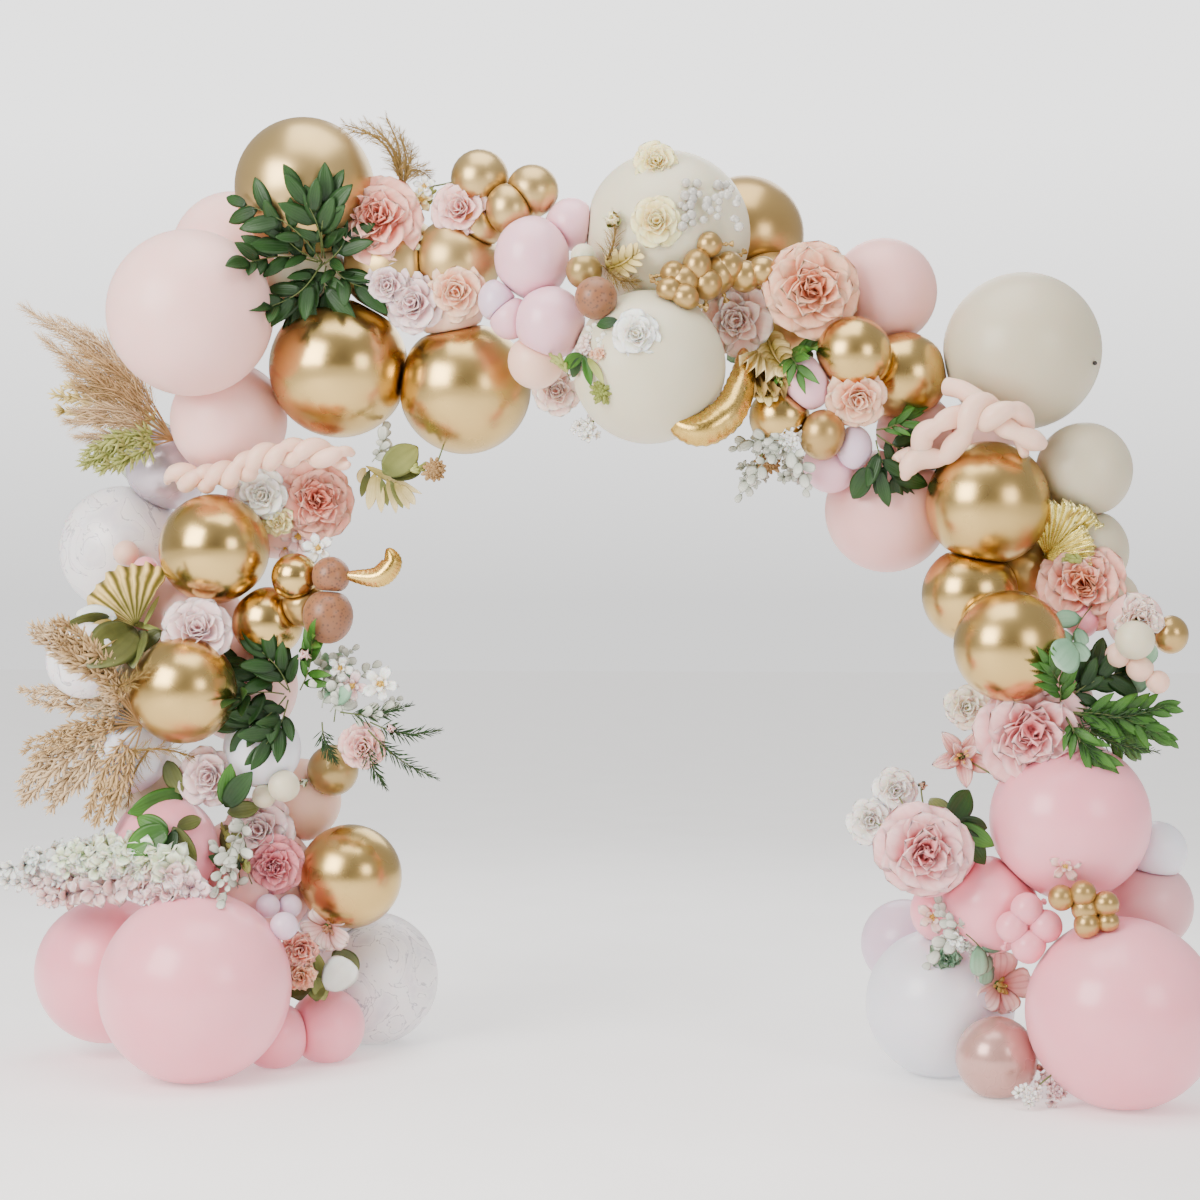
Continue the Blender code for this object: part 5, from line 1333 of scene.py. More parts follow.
# Gold foil crescents: a crumpled horn of foil along its middle line
crescents = [
    ("gold_and_terracotta_balls", 0.021, [
        (388, 548, -0.05), (392, 563, -0.05), (377, 577, -0.05), (345, 575, -0.05)]),
    ("flowers_top_right", 0.032, [
        (670, 405, -0.16), (681, 425, -0.16), (704, 429, -0.16), (730, 410, -0.13),
        (742, 378, -0.08), (744, 350, 0.0)]),
]
crescentRules = {"steps": 70, "sides": 28, "thin": 0.003, "seam": 0.30, "pleat": 0.045,
                 "crumple": 0.05, "grain": 30}
for node, radius, way in crescents:
    line = wayOf(way)
    steps, sides = crescentRules["steps"], crescentRules["sides"]
    spine = [smoothPoint(line, i / steps) for i in range(steps + 1)]
    radii = [max(radius * math.sin(math.pi * (0.03 + 0.92 * i / steps)) ** 0.8,
                 crescentRules["thin"]) for i in range(steps + 1)]
    shape = tube(spine, radii, sides, "goldFoil", forward)
    for index, place in enumerate(shape[0]):
        row = min(index // sides, steps)
        point = Vector(place)
        edge = abs(math.cos(math.tau * (index % sides) / sides))
        # two welded seams stand out, and short pleats cross them
        crumple = (noise.noise(point * crescentRules["grain"]) * crescentRules["crumple"]
                   + crescentRules["seam"] * edge ** 10
                   + crescentRules["pleat"] * math.sin(row * 1.9) * edge ** 2)
        shape[0][index] = spine[row] + (point - spine[row]) * (1 + crumple)
    keep(node, shape)
print("crescents made", len(crescents))

# Small balls beside the big ones: middle, radius, finish
trinkets = [
    ("flowers_top", [(584, 271, 19, "oliveGold"), (583, 256, 13, "cream"),
                     (596, 298, 22, "terracotta")]),
    # painted shade: a near-black bead stands for the shaded dimple on the sand balloon
    ("sand_balloon_right", [(1095, 363, 2.4, "darkRubber")]),
    ("flowers_right_upper", [
        (1082, 622, 17, "softPink"), (1135, 640, 20, "cream"), (1118, 655, 13, "peach"),
        (1140, 668, 14, "peach"), (1158, 682, 12, "peach")]),
    ("pale_balloons_left", [(146, 570, 15, "softPink"), (126, 553, 14, "peach")]),
    ("flowers_lower_left", [
        (268, 906, 13, "lilac"), (290, 906, 13, "lilac"), (284, 926, 15, "lilac"),
        (284, 786, 17, "cream"), (264, 796, 13, "cream")]),
]
trinketRules = {"sink": 0.3, "behind": 0.03, "tilt": 0.3, "small": 0.02, "beads": 38}
beadsAt = random.Random(11)
trinkets.append(("flowers_top", [
    (beadsAt.uniform(680, 739), beadsAt.uniform(180, 227), beadsAt.uniform(3.5, 5.5),
     "clearBead") for _ in range(trinketRules["beads"])]))
for node, u, v, radius, finish in eachRow(trinkets):
    size = radius * view["metresPerStep"]
    place = onFace(u, v)
    beside = min((head for head in heads if head[0] == node),
                 key=lambda head: math.dist(head[1], place), default=None)
    centre, off = touch(place, size, trinketRules["sink"] * size,
                        beside and beside[2].y + trinketRules["behind"])
    segments, rings = (12, 8) if size < trinketRules["small"] else (26, 18)
    keep(node, bead(segments, rings, finish),
         asMatrix(centre, off.cross(up) + off * trinketRules["tilt"], size))
print("small balls made")

# Leaves, florets and barbs on a stem: leaf, how many, turn, where they start, how far they
# spread at the foot and tip, size at the foot, in the middle and at the tip, stem radius,
# wobble, finish and the stem's finish
leafKinds = {
    "ruscus": ("ruscusLeaf", 7, math.pi, 0.22, (0.85, 0.30), (0.078, 0.098, 0.084), 0.0022,
               0.30, "darkLeaf", "stem"),
    "leafy": ("willowLeaf", 11, math.pi, 0.15, (0.75, 0.20), (0.080, 0.095, 0.070), 0.0020,
              0.30, "midLeaf", "stem"),
    "fir": ("needle", 74, 2.4, 0.15, (0.85, 0.35), (0.040, 0.036, 0.016), 0.0022, 0.25,
            "darkLeaf", "stem"),
    "eucalyptus": ("roundLeaf", 6, math.pi, 0.25, (0.95, 0.40), (0.068, 0.064, 0.046), 0.0018,
                   0.35, "eucalyptus", "stem"),
    "dusty": ("roundLeaf", 12, 2.4, 0.10, (1.0, 0.5), (0.036, 0.034, 0.026), 0.0018, 0.40,
              "dustyLeaf", "dustyLeaf"),
    "twig": ("feather", 48, 2.4, 0.02, (0.9, 0.5), (0.042, 0.040, 0.026), 0.0035, 0.40,
             "dryLeaf", "dryLeaf"),
    "pampas": ("feather", 74, 2.4, 0.30, (0.40, 0.22), (0.055, 0.075, 0.040), 0.0022, 0.30,
               "pampas", "straw"),
    "grass": ("tuft", 29, 2.4, 0.22, (0.42, 0.18), (0.040, 0.052, 0.034), 0.0026, 0.40,
              "straw", "straw"),
    "delphinium": ("littleBlossom", 14, 2.4, 0.05, (1.20, 0.80), (0.050, 0.044, 0.028),
                   0.0024, 0.30, "whitePetal", "stem"),
    "seeds": ("seedGrain", 30, 2.4, 0.25, (0.60, 0.20), (0.026, 0.026, 0.016), 0.0016, 0.30,
              "limeLeaf", "stem"),
}

# Sprigs, by node and kind: foot, tip and how far the middle bows sideways, all in steps of the
# photograph
sprigs = [
    ("flowers_top_left", "ruscus", [
        ((322, 262), (247, 205), 10), ((322, 258), (302, 196), 6), ((325, 258), (330, 198), -6),
        ((322, 262), (280, 232), -4), ((324, 264), (348, 232), 4), ((326, 266), (330, 300), 4),
        ((322, 262), (272, 306), -8), ((325, 262), (296, 312), 4), ((330, 262), (368, 288), 6),
        ((318, 262), (250, 262), 6)]),
    ("flowers_top_left", "twig", [
        ((400, 178), (345, 125), 14), ((400, 180), (386, 118), 6), ((404, 182), (428, 176), -10),
        ((402, 182), (366, 122), 10), ((404, 184), (400, 134), 4), ((404, 186), (412, 150), 0),
        ((398, 176), (352, 132), 18)]),
    ("flowers_top_left", "seeds", [((418, 215), (432, 184), 3)]),
    ("flowers_upper_left", "dusty", [((372, 462), (384, 432), 3)]),
    ("flowers_upper_left", "seeds", [((400, 470), (430, 464), 2)]),
    ("flowers_lower_left", "seeds", [((240, 880), (222, 826), 3)]),
    ("flowers_lower_left", "dusty", [((238, 888), (214, 846), 4)]),
    ("flowers_lower_left", "seeds", [((252, 884), (244, 842), -3)]),
    ("leaf_bunch_left", "ruscus", [
        ((288, 690), (240, 668), 6), ((286, 696), (240, 728), -6), ((288, 700), (266, 744), -4),
        ((290, 692), (262, 652), 4), ((284, 694), (238, 698), 4)]),
    ("leaf_bunch_left", "leafy", [((300, 690), (312, 640), 4)]),
    ("leaf_bunch_left", "fir", [((322, 722), (336, 762), 4), ((340, 712), (410, 705), 6)]),
    ("leaf_bunch_left", "dusty", [((352, 716), (396, 700), 6), ((344, 716), (340, 654), -5)]),
    ("leaf_bunch_left", "fir", [
        ((370, 722), (440, 730), 8), ((368, 730), (436, 778), 6), ((364, 736), (386, 788), 4)]),
    ("leaf_bunch_left", "dusty", [
        ((322, 708), (318, 660), 4), ((330, 704), (352, 650), -4),
        ((330, 712), (372, 668), -4)]),
    ("leaf_bunch_left", "eucalyptus", [((334, 722), (330, 664), 4)]),
    ("flowers_top", "twig", [((606, 262), (614, 218), 4), ((606, 268), (634, 282), 4)]),
    ("flowers_top", "seeds", [((570, 380), (552, 356), 3)]),
    ("flowers_top_right", "leafy", [((788, 350), (812, 348), 3), ((784, 352), (798, 370), -3)]),
    ("flowers_top_right", "eucalyptus", [
        ((764, 352), (746, 380), 4), ((768, 352), (764, 378), 4)]),
    ("flowers_top_right", "seeds", [((772, 350), (782, 384), 4)]),
    ("flowers_right_shoulder", "leafy", [((876, 430), (914, 412), 4)]),
    ("flowers_right_shoulder", "ruscus", [
        ((876, 434), (918, 452), 4), ((876, 440), (902, 484), 6)]),
    ("flowers_right_shoulder", "dusty", [
        ((785, 440), (738, 448), 5), ((785, 446), (742, 494), 5), ((788, 446), (806, 488), -4)]),
    ("flowers_right_upper", "eucalyptus", [((1092, 606), (1070, 654), 5)]),
    ("flowers_right_upper", "seeds", [((1088, 566), (1064, 560), 4)]),
    ("flowers_right_middle", "leafy", [((1060, 706), (1050, 668), 5)]),
    ("flowers_right_middle", "ruscus", [((1060, 706), (1122, 672), -6)]),
    ("flowers_right_middle", "fir", [
        ((1062, 710), (1166, 706), 10), ((1064, 714), (1158, 752), 8),
        ((1066, 718), (1112, 766), 6)]),
    ("flowers_right_middle", "leafy", [
        ((1064, 712), (1164, 736), -8), ((1066, 712), (1132, 746), -6),
        ((1068, 706), (1160, 706), 6)]),
    ("flowers_right_middle", "ruscus", [((1068, 700), (1098, 668), -4)]),
    ("flowers_right_middle", "leafy", [
        ((1070, 712), (1150, 732), -4), ((1066, 716), (1104, 762), 4)]),
    ("dried_grass_lower_left", "twig", [
        ((112, 690), (150, 668), 2), ((128, 752), (196, 758), -6), ((150, 748), (128, 806), 6)]),
    ("flowers_right_lower", "dusty", [((962, 936), (930, 962), 4)]),
    ("flowers_right_lower", "eucalyptus", [((966, 934), (990, 968), -4)]),
    ("flowers_right_lower", "dusty", [((964, 928), (940, 906), -4)]),
]
layRules = {"clear": 0.012, "spread": 0.06, "near": 0.8, "steps": 12, "arch": 0.02,
            "smoothings": 3}


def pathOver(node, foot, tip, bow):
    # from foot to tip over the balloons in between, bowed sideways in the middle
    place, clear, most = onFace(*foot), layRules["clear"], layRules["spread"]
    heart = min((head for head in heads if head[0] == node),
                key=lambda head: math.dist(head[1], place), default=None)
    base, _ = touch(place, clear, 0.0)
    if heart and math.dist(heart[1], place) < layRules["near"] * heart[4]:
        base = spot(place, heart[2].y)
    if heart and base.y > heart[2].y + most:
        base = spot(place, heart[2].y + most)
    end, _ = touch(onFace(*tip), clear, 0.0, base.y + most)
    if end.y < base.y - most:
        end = spot(onFace(*tip), base.y - most)
    points, steps = [], layRules["steps"]
    length = math.dist(foot, tip) or 1.0
    sideU, sideV = -(tip[1] - foot[1]) / length, (tip[0] - foot[0]) / length
    for step in range(steps + 1):
        share = step / steps
        bulge = math.sin(math.pi * share)
        where = onFace(foot[0] + (tip[0] - foot[0]) * share + sideU * bow * bulge,
                       foot[1] + (tip[1] - foot[1]) * share + sideV * bow * bulge)
        depth = base.y + (end.y - base.y) * share - layRules["arch"] * bulge
        points.append(touch(where, clear, 0.0, depth)[0])
    for _ in range(layRules["smoothings"]):
        points[1:-1] = [(points[i - 1] + points[i] * 2 + points[i + 1]) / 4
                        for i in range(1, steps)]
    return points


def sprig(node, kind, line, seed, face, scale, finish=None):
    leaf, count, turn, start, spreads, sizes, stem, shake, own, stemFinish = leafKinds[kind]
    settings = {
        "leaf": patterns[leaf], "count": count, "turn": turn, "from": start, "face": face,
        "wobble": shake, "seed": seed, "stemRadius": stem,
        "stemMaterial": materials[stemFinish], "material": materials[finish or own]}
    settings.update(zip(("baseSpread", "tipSpread"), spreads))
    settings.update(zip(("baseSize", "middleSize", "tipSize"),
                        (size * scale for size in sizes)))
    keep(node, grow(pathTree, settings, line))


# how far a sprig's leaves look sideways and upwards; leafy ones are smaller on a short stem
sprigRules = {"sideways": 0.35, "upwards": (-0.1, 0.4), "fullLength": 0.16, "smallest": 0.5}
random.seed(7)
for number, (node, kind, *row) in enumerate(eachRow(sprigs)):
    line = pathOver(node, *row)
    most = sprigRules["sideways"]
    tilted = (-forward + across * random.uniform(-most, most)
              + up * random.uniform(*sprigRules["upwards"]))
    scale = 1.0
    if kind == "leafy":
        scale = min(1.0, max(sprigRules["smallest"], lengthOf(line) / sprigRules["fullLength"]))
    sprig(node, kind, line, 1000 + number, tilted.normalized(), scale)
print("sprigs made", number + 1)

# Plumes: kind, foot and tip with their depth, stalks, how far they stray, finish and size
plumes = [
    ("pampas_upper_left", [
        ("pampas", (-0.96, 1.5, 0.1), (-1.283, 1.801, 0.04), 4, 0.035, "pampas", 1.0),
        ("pampas", (-0.96, 1.5, 0.1), (-1.181, 1.67, 0.0), 4, 0.035, "straw", 1.0),
        ("pampas", (-0.96, 1.5, 0.1), (-1.19, 1.54, -0.02), 3, 0.03, "pampas", 0.9),
        ("grass", (-0.96, 1.5, 0.1), (-1.15, 1.45, -0.04), 3, 0.025, "limeLeaf", 1.0),
        ("grass", (-0.96, 1.5, 0.1), (-1.215, 1.6, 0.02), 3, 0.03, "goldLeaf", 1.0)]),
    ("dried_grass_lower_left", [
        ("grass", (-1.03, 0.86, -0.09), (-1.262, 1.079, -0.3), 6, 0.02, "pampas", 1.0),
        ("grass", (-1.04, 0.87, -0.12), (-1.225, 1.085, -0.3), 3, 0.018, "straw", 0.9),
        ("grass", (-1.03, 0.86, -0.08), (-1.294, 0.937, -0.14), 3, 0.02, "pampas", 0.75),
        ("grass", (-1.03, 0.86, -0.08), (-1.289, 0.802, -0.14), 3, 0.018, "straw", 0.6),
        ("grass", (-1.06, 0.86, -0.08), (-1.294, 0.69, -0.12), 5, 0.048, "pampas", 0.95),
        ("grass", (-1.03, 0.86, -0.08), (-1.13, 0.649, -0.12), 3, 0.026, "straw", 0.8)]),
    ("white_flower_spray", [
        ("delphinium", (-0.96, 0.52, -0.12), (-1.345, 0.537, -0.02), 3, 0.034, "silverPetal", 1.1),
        ("delphinium", (-0.94, 0.5, -0.13), (-1.27, 0.5, -0.05), 3, 0.03, "mauvePetal", 1.2),
        ("delphinium", (-0.94, 0.53, -0.13), (-1.2, 0.56, -0.08), 3, 0.026, "greenWhitePetal", 1.2),
        ("delphinium", (-0.91, 0.49, -0.15), (-1.03, 0.49, -0.14), 2, 0.02, "lilacPetal", 1.0)]),
    ("flowers_lower_left", [
        ("dusty", (-0.79, 0.64, 0.04), (-0.858, 0.47, -0.17), 2, 0.012, "dustyLeaf", 1.0)]),
]
plumeRules = {"steps": 14, "bow": 0.4, "rise": 0.10, "fall": 0.05, "reach": (0.78, 0.98)}
for number, (node, kind, foot, tip, stalks, stray, finish, scale) in enumerate(
        eachRow(plumes)):
    base = spot(foot[:2], foot[2])
    for stalk in range(stalks):
        far = spot(tip[:2], tip[2])
        side = (far - base).cross(forward).normalized()
        lean = stray * (2 * stalk / (stalks - 1) - 1)
        reach = 1.0 if stalk == stalks // 2 else random.uniform(*plumeRules["reach"])
        strayed = forward * random.uniform(-0.5, 0.5) * stray
        far = base + (far - base) * reach + side * lean + strayed
        line = []
        for step in range(plumeRules["steps"] + 1):
            share = step / plumeRules["steps"]
            bulge = math.sin(math.pi * share)
            point = base.lerp(far, share) + side * lean * plumeRules["bow"] * bulge
            rise = plumeRules["rise"] - plumeRules["fall"] * share
            point.z += rise * (far - base).length * bulge
            line.append(point)
        sprig(node, kind, line, 2000 + 10 * number + stalk, -forward, scale, finish)
print("plumes made", number + 1)

# Split leaves: node, foot, tip, width, fingers a side
splitLeaves = [
    ("flowers_top", (608, 268), (636, 250), 26, 5),
    ("flowers_top_right", (768, 338), (790, 372), 30, 5),
    ("flowers_top_right", (762, 362), (770, 400), 30, 6),
]
splitRules = {
    "stalk": 0.0035, "taper": 0.0002, "sides": 6,  # the stalk gets this much thinner a step
    "first": 0.4, "last": 0.92,                    # where along it the fingers are
    "opening": 78, "closing": 52,                  # their angle at the foot, and how it falls
    "shortest": 0.60, "longer": 0.90, "overlap": 0.88,
    "upwards": 0.15, "sideways": 0.25,             # what they look towards
    "tipAt": 0.85, "tipSize": 0.25, "tipWidth": 0.4}
for node, foot, tip, width, fingers in splitLeaves:
    line = pathOver(node, foot, tip, 4)
    length = (line[-1] - line[0]).length
    along = (line[-1] - line[0]).normalized()
    side = along.cross(forward).normalized()
    radii = [splitRules["stalk"] - splitRules["taper"] * i for i in range(len(line))]
    keep(node, tube(line, radii, splitRules["sides"], "goldLeaf", forward))
    for finger in range(fingers):
        share = (finger + splitRules["first"]) / fingers
        root = smoothPoint(line, share * splitRules["last"])
        bulge = math.sin(math.pi * (0.15 + 0.72 * share))
        reach = width * view["metresPerStep"] * 0.5 * (
            splitRules["shortest"] + splitRules["longer"] * bulge)
        shape = dict(petalShapes["finger"],
                     width=splitRules["overlap"] * length / (fingers * reach))
        for way in (-1, 1):
            angle = math.radians(splitRules["opening"] - splitRules["closing"] * share) * way
            aim = along * math.cos(angle) + side * math.sin(angle)
            facing = (-forward + up * splitRules["upwards"]
                      + side * way * splitRules["sideways"]).normalized()
            keep(node, blade(shape, "goldLeaf"), leafMatrix(root, aim, facing, reach))
    shape = dict(petalShapes["finger"], width=splitRules["tipWidth"])
    keep(node, blade(shape, "goldLeaf"), leafMatrix(
        smoothPoint(line, splitRules["tipAt"]), along, -forward, length * splitRules["tipSize"]))
print("split leaves made", len(splitLeaves))

# Broad leaves, lobes, fingers and pads: foot, tip, width over length, finish
broadLeaves = [
    ("rose_and_monstera_left", [
        ((118, 618), (74, 611), 0.34, "silverPetal"), ((114, 620), (67, 627), 0.3, "oliveLeaf"),
        ((120, 621), (86, 650), 0.34, "goldLeaf"), ((138, 627), (95, 662), 0.56, "oliveLeaf"),
        ((142, 630), (133, 664), 0.46, "oliveLeaf"), ((162, 630), (136, 652), 0.5, "oliveLeaf"),
        ((163, 631), (116, 617), 0.1, "limeLeaf"), ((144, 626), (160, 594), 0.12, "limeLeaf")]),
    ("flowers_upper_left", [
        ((366, 468), (357, 484), 0.3, "palmLeaf"), ((370, 470), (360, 499), 0.2, "oliveLeaf"),
        ((375, 473), (369, 512), 0.24, "palmLeaf"), ((379, 475), (382, 515), 0.19, "palmLeaf"),
        ((387, 479), (398, 515), 0.19, "palmLeaf"), ((395, 482), (411, 511), 0.22, "palmLeaf"),
        ((401, 485), (417, 506), 0.26, "palmLeaf"), ((366, 466), (423, 495), 0.13, "palmLeaf"),
        ((382, 479), (388, 508), 0.2, "padLeaf"), ((391, 481), (404, 510), 0.2, "padLeaf"),
        ((384, 474), (420, 446), 0.6, "padLeaf"), ((392, 478), (424, 468), 0.4, "oliveLeaf")]),
    ("flowers_lower_left", [
        ((186, 793), (132, 812), 0.42, "midLeaf"), ((168, 760), (182, 794), 0.55, "oliveLeaf"),
        ((170, 828), (127, 851), 0.6, "midLeaf"), ((170, 832), (137, 816), 0.5, "midLeaf"),
        ((174, 826), (197, 862), 0.42, "oliveLeaf"), ((176, 829), (168, 862), 0.4, "darkLeaf"),
        ((178, 826), (204, 818), 0.45, "oliveLeaf"), ((226, 806), (252, 772), 0.5, "darkLeaf"),
        ((228, 812), (262, 806), 0.45, "oliveLeaf"), ((224, 804), (232, 764), 0.42, "midLeaf"),
        ((244, 862), (224, 822), 0.45, "oliveLeaf"), ((242, 868), (212, 856), 0.42, "darkLeaf"),
        ((302, 998), (296, 936), 0.6, "oliveLeaf")]),
    ("flowers_right_shoulder", [
        ((870, 468), (850, 500), 0.5, "darkLeaf"), ((878, 470), (888, 508), 0.34, "darkLeaf")]),
    ("flowers_lower_left", [
        ((318, 1000), (314, 946), 0.42, "padLeaf"), ((316, 976), (326, 1000), 0.6, "padLeaf"),
        ((328, 988), (352, 958), 0.86, "silverPetal"),
        ((334, 950), (360, 974), 0.6, "oliveLeaf")]),
    ("flowers_top", [
        ((618, 321), (595, 326), 0.42, "darkLeaf"), ((583, 356), (561, 367), 0.36, "midLeaf"),
        ((584, 356), (591, 386), 0.3, "midLeaf"), ((588, 358), (604, 383), 0.28, "limeLeaf"),
        ((580, 358), (571, 379), 0.34, "darkLeaf")]),
    ("flowers_right_upper", [
        ((1072, 644), (1054, 665), 0.84, "eucalyptus"),
        ((1128, 666), (1150, 642), 0.8, "eucalyptus"),
        ((1142, 662), (1122, 688), 0.8, "eucalyptus"),
        ((1136, 634), (1112, 618), 0.4, "dustyLeaf"), ((1090, 690), (1128, 672), 0.16, "straw"),
        ((1084, 684), (1112, 662), 0.16, "straw")]),
    ("flowers_right_lower", [
        ((948, 822), (970, 788), 0.55, "darkLeaf"), ((948, 818), (929, 795), 0.5, "oliveLeaf"),
        ((958, 820), (988, 828), 0.45, "darkLeaf"), ((956, 824), (994, 846), 0.42, "midLeaf"),
        ((958, 828), (986, 864), 0.44, "darkLeaf"), ((954, 830), (966, 868), 0.44, "darkLeaf")]),
]
leafRules = {"narrow": (0.53, "ruscusLeaf"), "round": (0.69, "roundLeaf"), "roundFrom": 0.7,
             "proud": 0.35, "rows": 11, "columns": 8, "sideways": 0.35,
             "upwards": (-0.05, 0.25)}
leafTurns = random.Random(23)
for node, foot, tip, wide, finish in eachRow(broadLeaves):
    line = pathOver(node, foot, tip, 0)
    along = line[-1] - line[0]
    most = leafRules["sideways"]
    facing = (-forward + across * leafTurns.uniform(-most, most)
              + up * leafTurns.uniform(*leafRules["upwards"]))
    full, name = leafRules["round" if wide > leafRules["roundFrom"] else "narrow"]
    shape = dict(petalShapes[name], width=wide / full, rows=leafRules["rows"],
                 columns=leafRules["columns"])
    proud = leafRules["proud"] * wide * along.length
    keep(node, blade(shape, finish), leafMatrix(
        line[0] - forward * proud, along.normalized(), facing, along.length))
print("broad leaves made")

# Pleated foil fans: node, foot, where the middle of the rim is, opening angle, pleats, finish
fans = [
    ("flowers_right_upper", (1046, 556), (1078, 502), 1.9, 15, "fanFoil"),
    ("flowers_right_upper", (1044, 558), (1094, 540), 1.2, 9, "fanFoil"),
    ("rose_and_monstera_left", (138, 627), (116, 572), 2.0, 9, "stripedLeaf"),
    ("flowers_top_right", (760, 352), (776, 384), 1.3, 9, "goldLeaf"),
    ("flowers_top_right", (752, 366), (774, 398), 1.2, 9, "dryLeaf"),
]
fanRules = {"rows": 9, "stepsPerPleat": 4, "thick": 0.0012, "proud": 0.01, "foot": 0.3,
            "ragged": 0.10, "round": 0.12, "fold": 0.16, "crush": 0.25}


def fanPoints(number, base, along, opening, pleats, layer):
    # one side of the foil, with where each point is on it
    reach, aim = along.length, along.normalized()
    facing = (-forward + up * 0.2 + across * (0.4 - 0.3 * (number % 3))).normalized()
    facing = (facing - aim * facing.dot(aim)).normalized()
    side = aim.cross(facing)
    rows, columns = fanRules["rows"], pleats * fanRules["stepsPerPleat"]
    for row in range(rows + 1):
        for column in range(columns + 1):
            v, s = (row + fanRules["foot"]) / (rows + fanRules["foot"]), column / columns
            angle = (s - 0.5) * opening
            ragged = 1 + fanRules["ragged"] * noise.noise(Vector((s * 14, number * 3.1, 0))) * v
            out = reach * v * ragged * (1 - fanRules["round"] * (2 * s - 1) ** 2)
            fold = fanRules["fold"] * (abs(((s * pleats) % 1) * 2 - 1) - 0.5)
            crush = noise.noise(Vector((s * 9, v * 5, number * 5.0))) * fanRules["crush"]
            lift = reach * v * (fold + crush * v * 0.5) + layer + fanRules["proud"]
            spoke = aim * math.cos(angle) + side * math.sin(angle)
            yield base + spoke * out + facing * lift, (s, v)


for number, (node, foot, rim, opening, pleats, finish) in enumerate(fans):
    line = pathOver(node, foot, rim, 0)
    rows, columns = fanRules["rows"], pleats * fanRules["stepsPerPleat"]
    both = [point for layer in (fanRules["thick"], -fanRules["thick"]) for point in fanPoints(
        number, line[0], line[-1] - line[0], opening, pleats, layer)]
    faces, wide = [], columns + 1
    back = (rows + 1) * wide
    for row in range(rows):
        for column in range(columns):
            one = row * wide + column
            quad = (one, one + 1, one + wide + 1, one + wide)
            faces += [quad, tuple(i + back for i in reversed(quad))]
    edge = ([(0, c) for c in range(columns)] + [(r, columns) for r in range(rows)]
            + [(rows, c) for c in range(columns, 0, -1)] + [(r, 0) for r in range(rows, 0, -1)])
    edge = [row * wide + column for row, column in edge]
    for one, two in zip(edge, edge[1:] + edge[:1]):
        faces.append((two, one, one + back, two + back))
    keep(node, fromFaces([point for point, _ in both], faces, [where for _, where in both],
                         finish))
print("fans made", len(fans))

# Pieces: one for each CAD node, in the frame's place. A slot is the first of these words in
# the node's name, where nothing else is said
slotWords = ("matte_gold", "dusty_rose", "gold", "blush", "pink", "cream", "sand", "white",
             "lilac", "peach")
otherSlots = {
    "pink_balloons_top": "blush", "white_and_peach_balloons": "peach",
    "pale_balloons_left": "white", "marbled_balloon_upper_left": "white",
    "right_shoulder_balloons": "gold", "pearl_balloon_pair": "lilac",
    "flowers_top": "cream_foam", "rose_and_monstera_left": "rose_foam",
    "leaf_bunch_left": "leaf", "pampas_upper_left": "straw",
    "dried_grass_lower_left": "straw", "white_flower_spray": "straw",
}


def slotOf(node):
    if node in otherSlots:
        return otherSlots[node]
    if node.startswith("flowers"):
        return "rose_foam"
    return next(word for word in slotWords if word in node)


total = 0
for node, parts in gathered.items():
    shape = putTogether(*parts)
    points = shape[0] - np.array(view["moved"])
    piece = bpy.data.objects.new(node + ".look", asMesh(node + "Look", (points, *shape[1:])))
    bpy.context.scene.collection.objects.link(piece)
    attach(piece, "root")
    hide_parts(node)
    slotOf(node)
    total += int((shape[2] - 2).sum())
for item in patterns.values():
    bpy.data.objects.remove(item)
print("pieces", len(gathered), "triangles", total)

# Stage
tree, surface = newMaterial("paleFloor")
where = put(tree, "ShaderNodeTexCoord").outputs["Object"]
grain = spread(tree, texture(tree, "Noise", where, 3.0, detail=4.0), 0.3, 0.7)
tree.links.new(mixColour(tree, grain, colourOf((0.88, 0.87, 0.86)),
                         colourOf((0.92, 0.915, 0.91))), surface.inputs["Base Color"])
surface.inputs["Roughness"].default_value = 0.75
surface.inputs["Emission Color"].default_value = colourOf((1.0, 0.99, 0.98))
surface.inputs["Emission Strength"].default_value = 0.38
floorMesh = bpy.data.meshes.new("floor")
corners = [(-30, -30, 0), (30, -30, 0), (30, 30, 0), (-30, 30, 0)]
floorMesh.from_pydata(corners, [], [(0, 1, 2, 3)])
floorMesh.materials.append(materials["paleFloor"])
floor = bpy.data.objects.new("floor", floorMesh)
bpy.context.scene.collection.objects.link(floor)
floor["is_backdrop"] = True

world = bpy.data.worlds.new("paleRoom")
world.use_nodes = True
bpy.context.scene.world = world
tree = world.node_tree
background = tree.nodes["Background"].inputs
looking = put(tree, "ShaderNodeTexCoord").outputs["Generated"]
_, away, high = put(tree, "ShaderNodeSeparateXYZ", {0: looking}).outputs
light = put(tree, "ShaderNodeLightPath").outputs
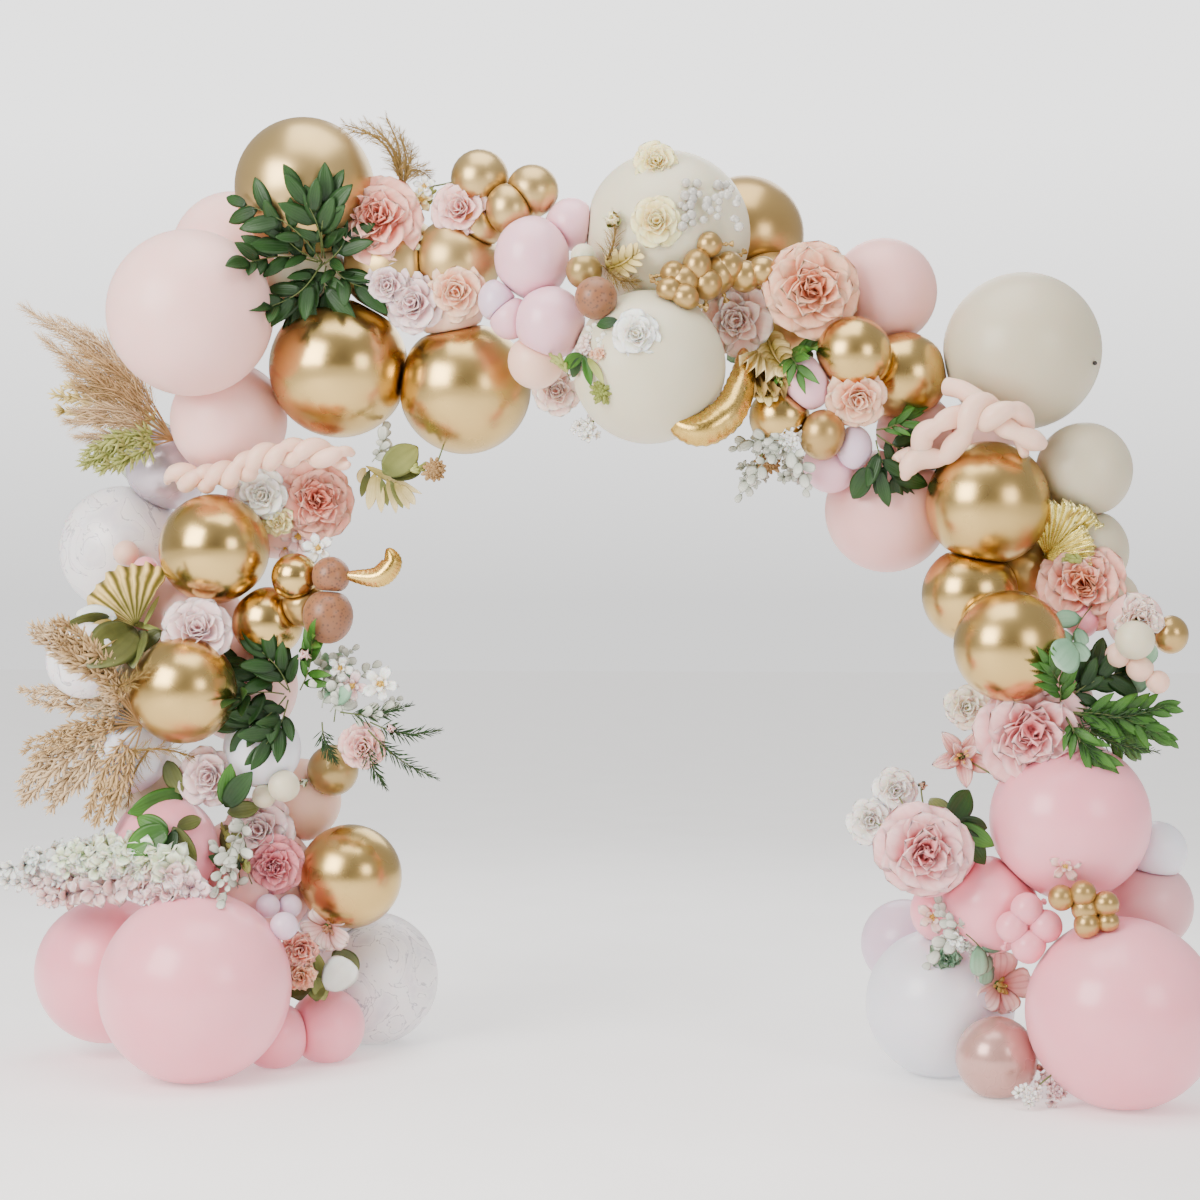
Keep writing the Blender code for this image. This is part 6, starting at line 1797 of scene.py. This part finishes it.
seen, mirrored = light["Is Camera Ray"], light["Is Glossy Ray"]
tone = colourOf((0.30, 0.27, 0.23))
for share, other in ((spread(tree, away, -0.9, 0.1), (0.97, 0.96, 0.95)),
                     (spread(tree, high, 0.1, 0.9), (0.95, 0.94, 0.93)),
                     (seen, (0.97, 0.965, 0.96))):
    tone = mixColour(tree, share, tone, colourOf(other))
tree.links.new(tone, background["Color"])
# mirrored, the room is darker; behind the arch it pales upwards from the floor's own tone
given = spread(tree, mirrored, 0.0, 1.0, 1.12, 0.62)
backdrop = spread(tree, high, 0.0, 0.20, 1.34, 2.6)
tree.links.new(spread(tree, seen, 0.0, 1.0, given, backdrop), background["Strength"])

# Lights: place, what they look at, size, power, colour
lights = [
    ((-2.8, -3.6, 3.0), (0.0, 0.0, 1.3), 2.6, 320.0, (1.0, 0.97, 0.93)),
    ((3.4, -3.4, 2.2), (0.2, 0.0, 1.2), 1.6, 60.0, (1.0, 0.95, 0.92)),
    ((0.0, -0.6, 4.8), (0.0, 0.0, 1.0), 3.0, 135.0, (1.0, 0.98, 0.96)),
    ((0.5, 3.2, 3.4), (0.0, 0.0, 1.2), 2.4, 60.0, (0.97, 0.98, 1.0)),
]
for number, (place, target, size, power, colour) in enumerate(lights):
    data = bpy.data.lights.new("softbox%d" % number, "AREA")
    data.shape = "SQUARE"
    data.size = size
    data.energy = power
    data.color = colour
    lamp = bpy.data.objects.new(data.name, data)
    lamp.location = place
    lamp.rotation_euler = (Vector(target) - Vector(place)).to_track_quat("-Z", "Y").to_euler()
    bpy.context.scene.collection.objects.link(lamp)

cameraData = bpy.data.cameras.new("camera")
cameraData.lens = view["lens"]
cameraData.sensor_width = 36.0
camera = bpy.data.objects.new("camera", cameraData)
camera.location = eye - view["moved"]
camera.rotation_euler = (math.radians(90), 0, view["turn"])
bpy.context.scene.collection.objects.link(camera)
bpy.context.scene.camera = camera

size = {"before": [list(corner) for corner in cadBox],
        "after": [list(corner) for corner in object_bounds()]}
print("size", size)
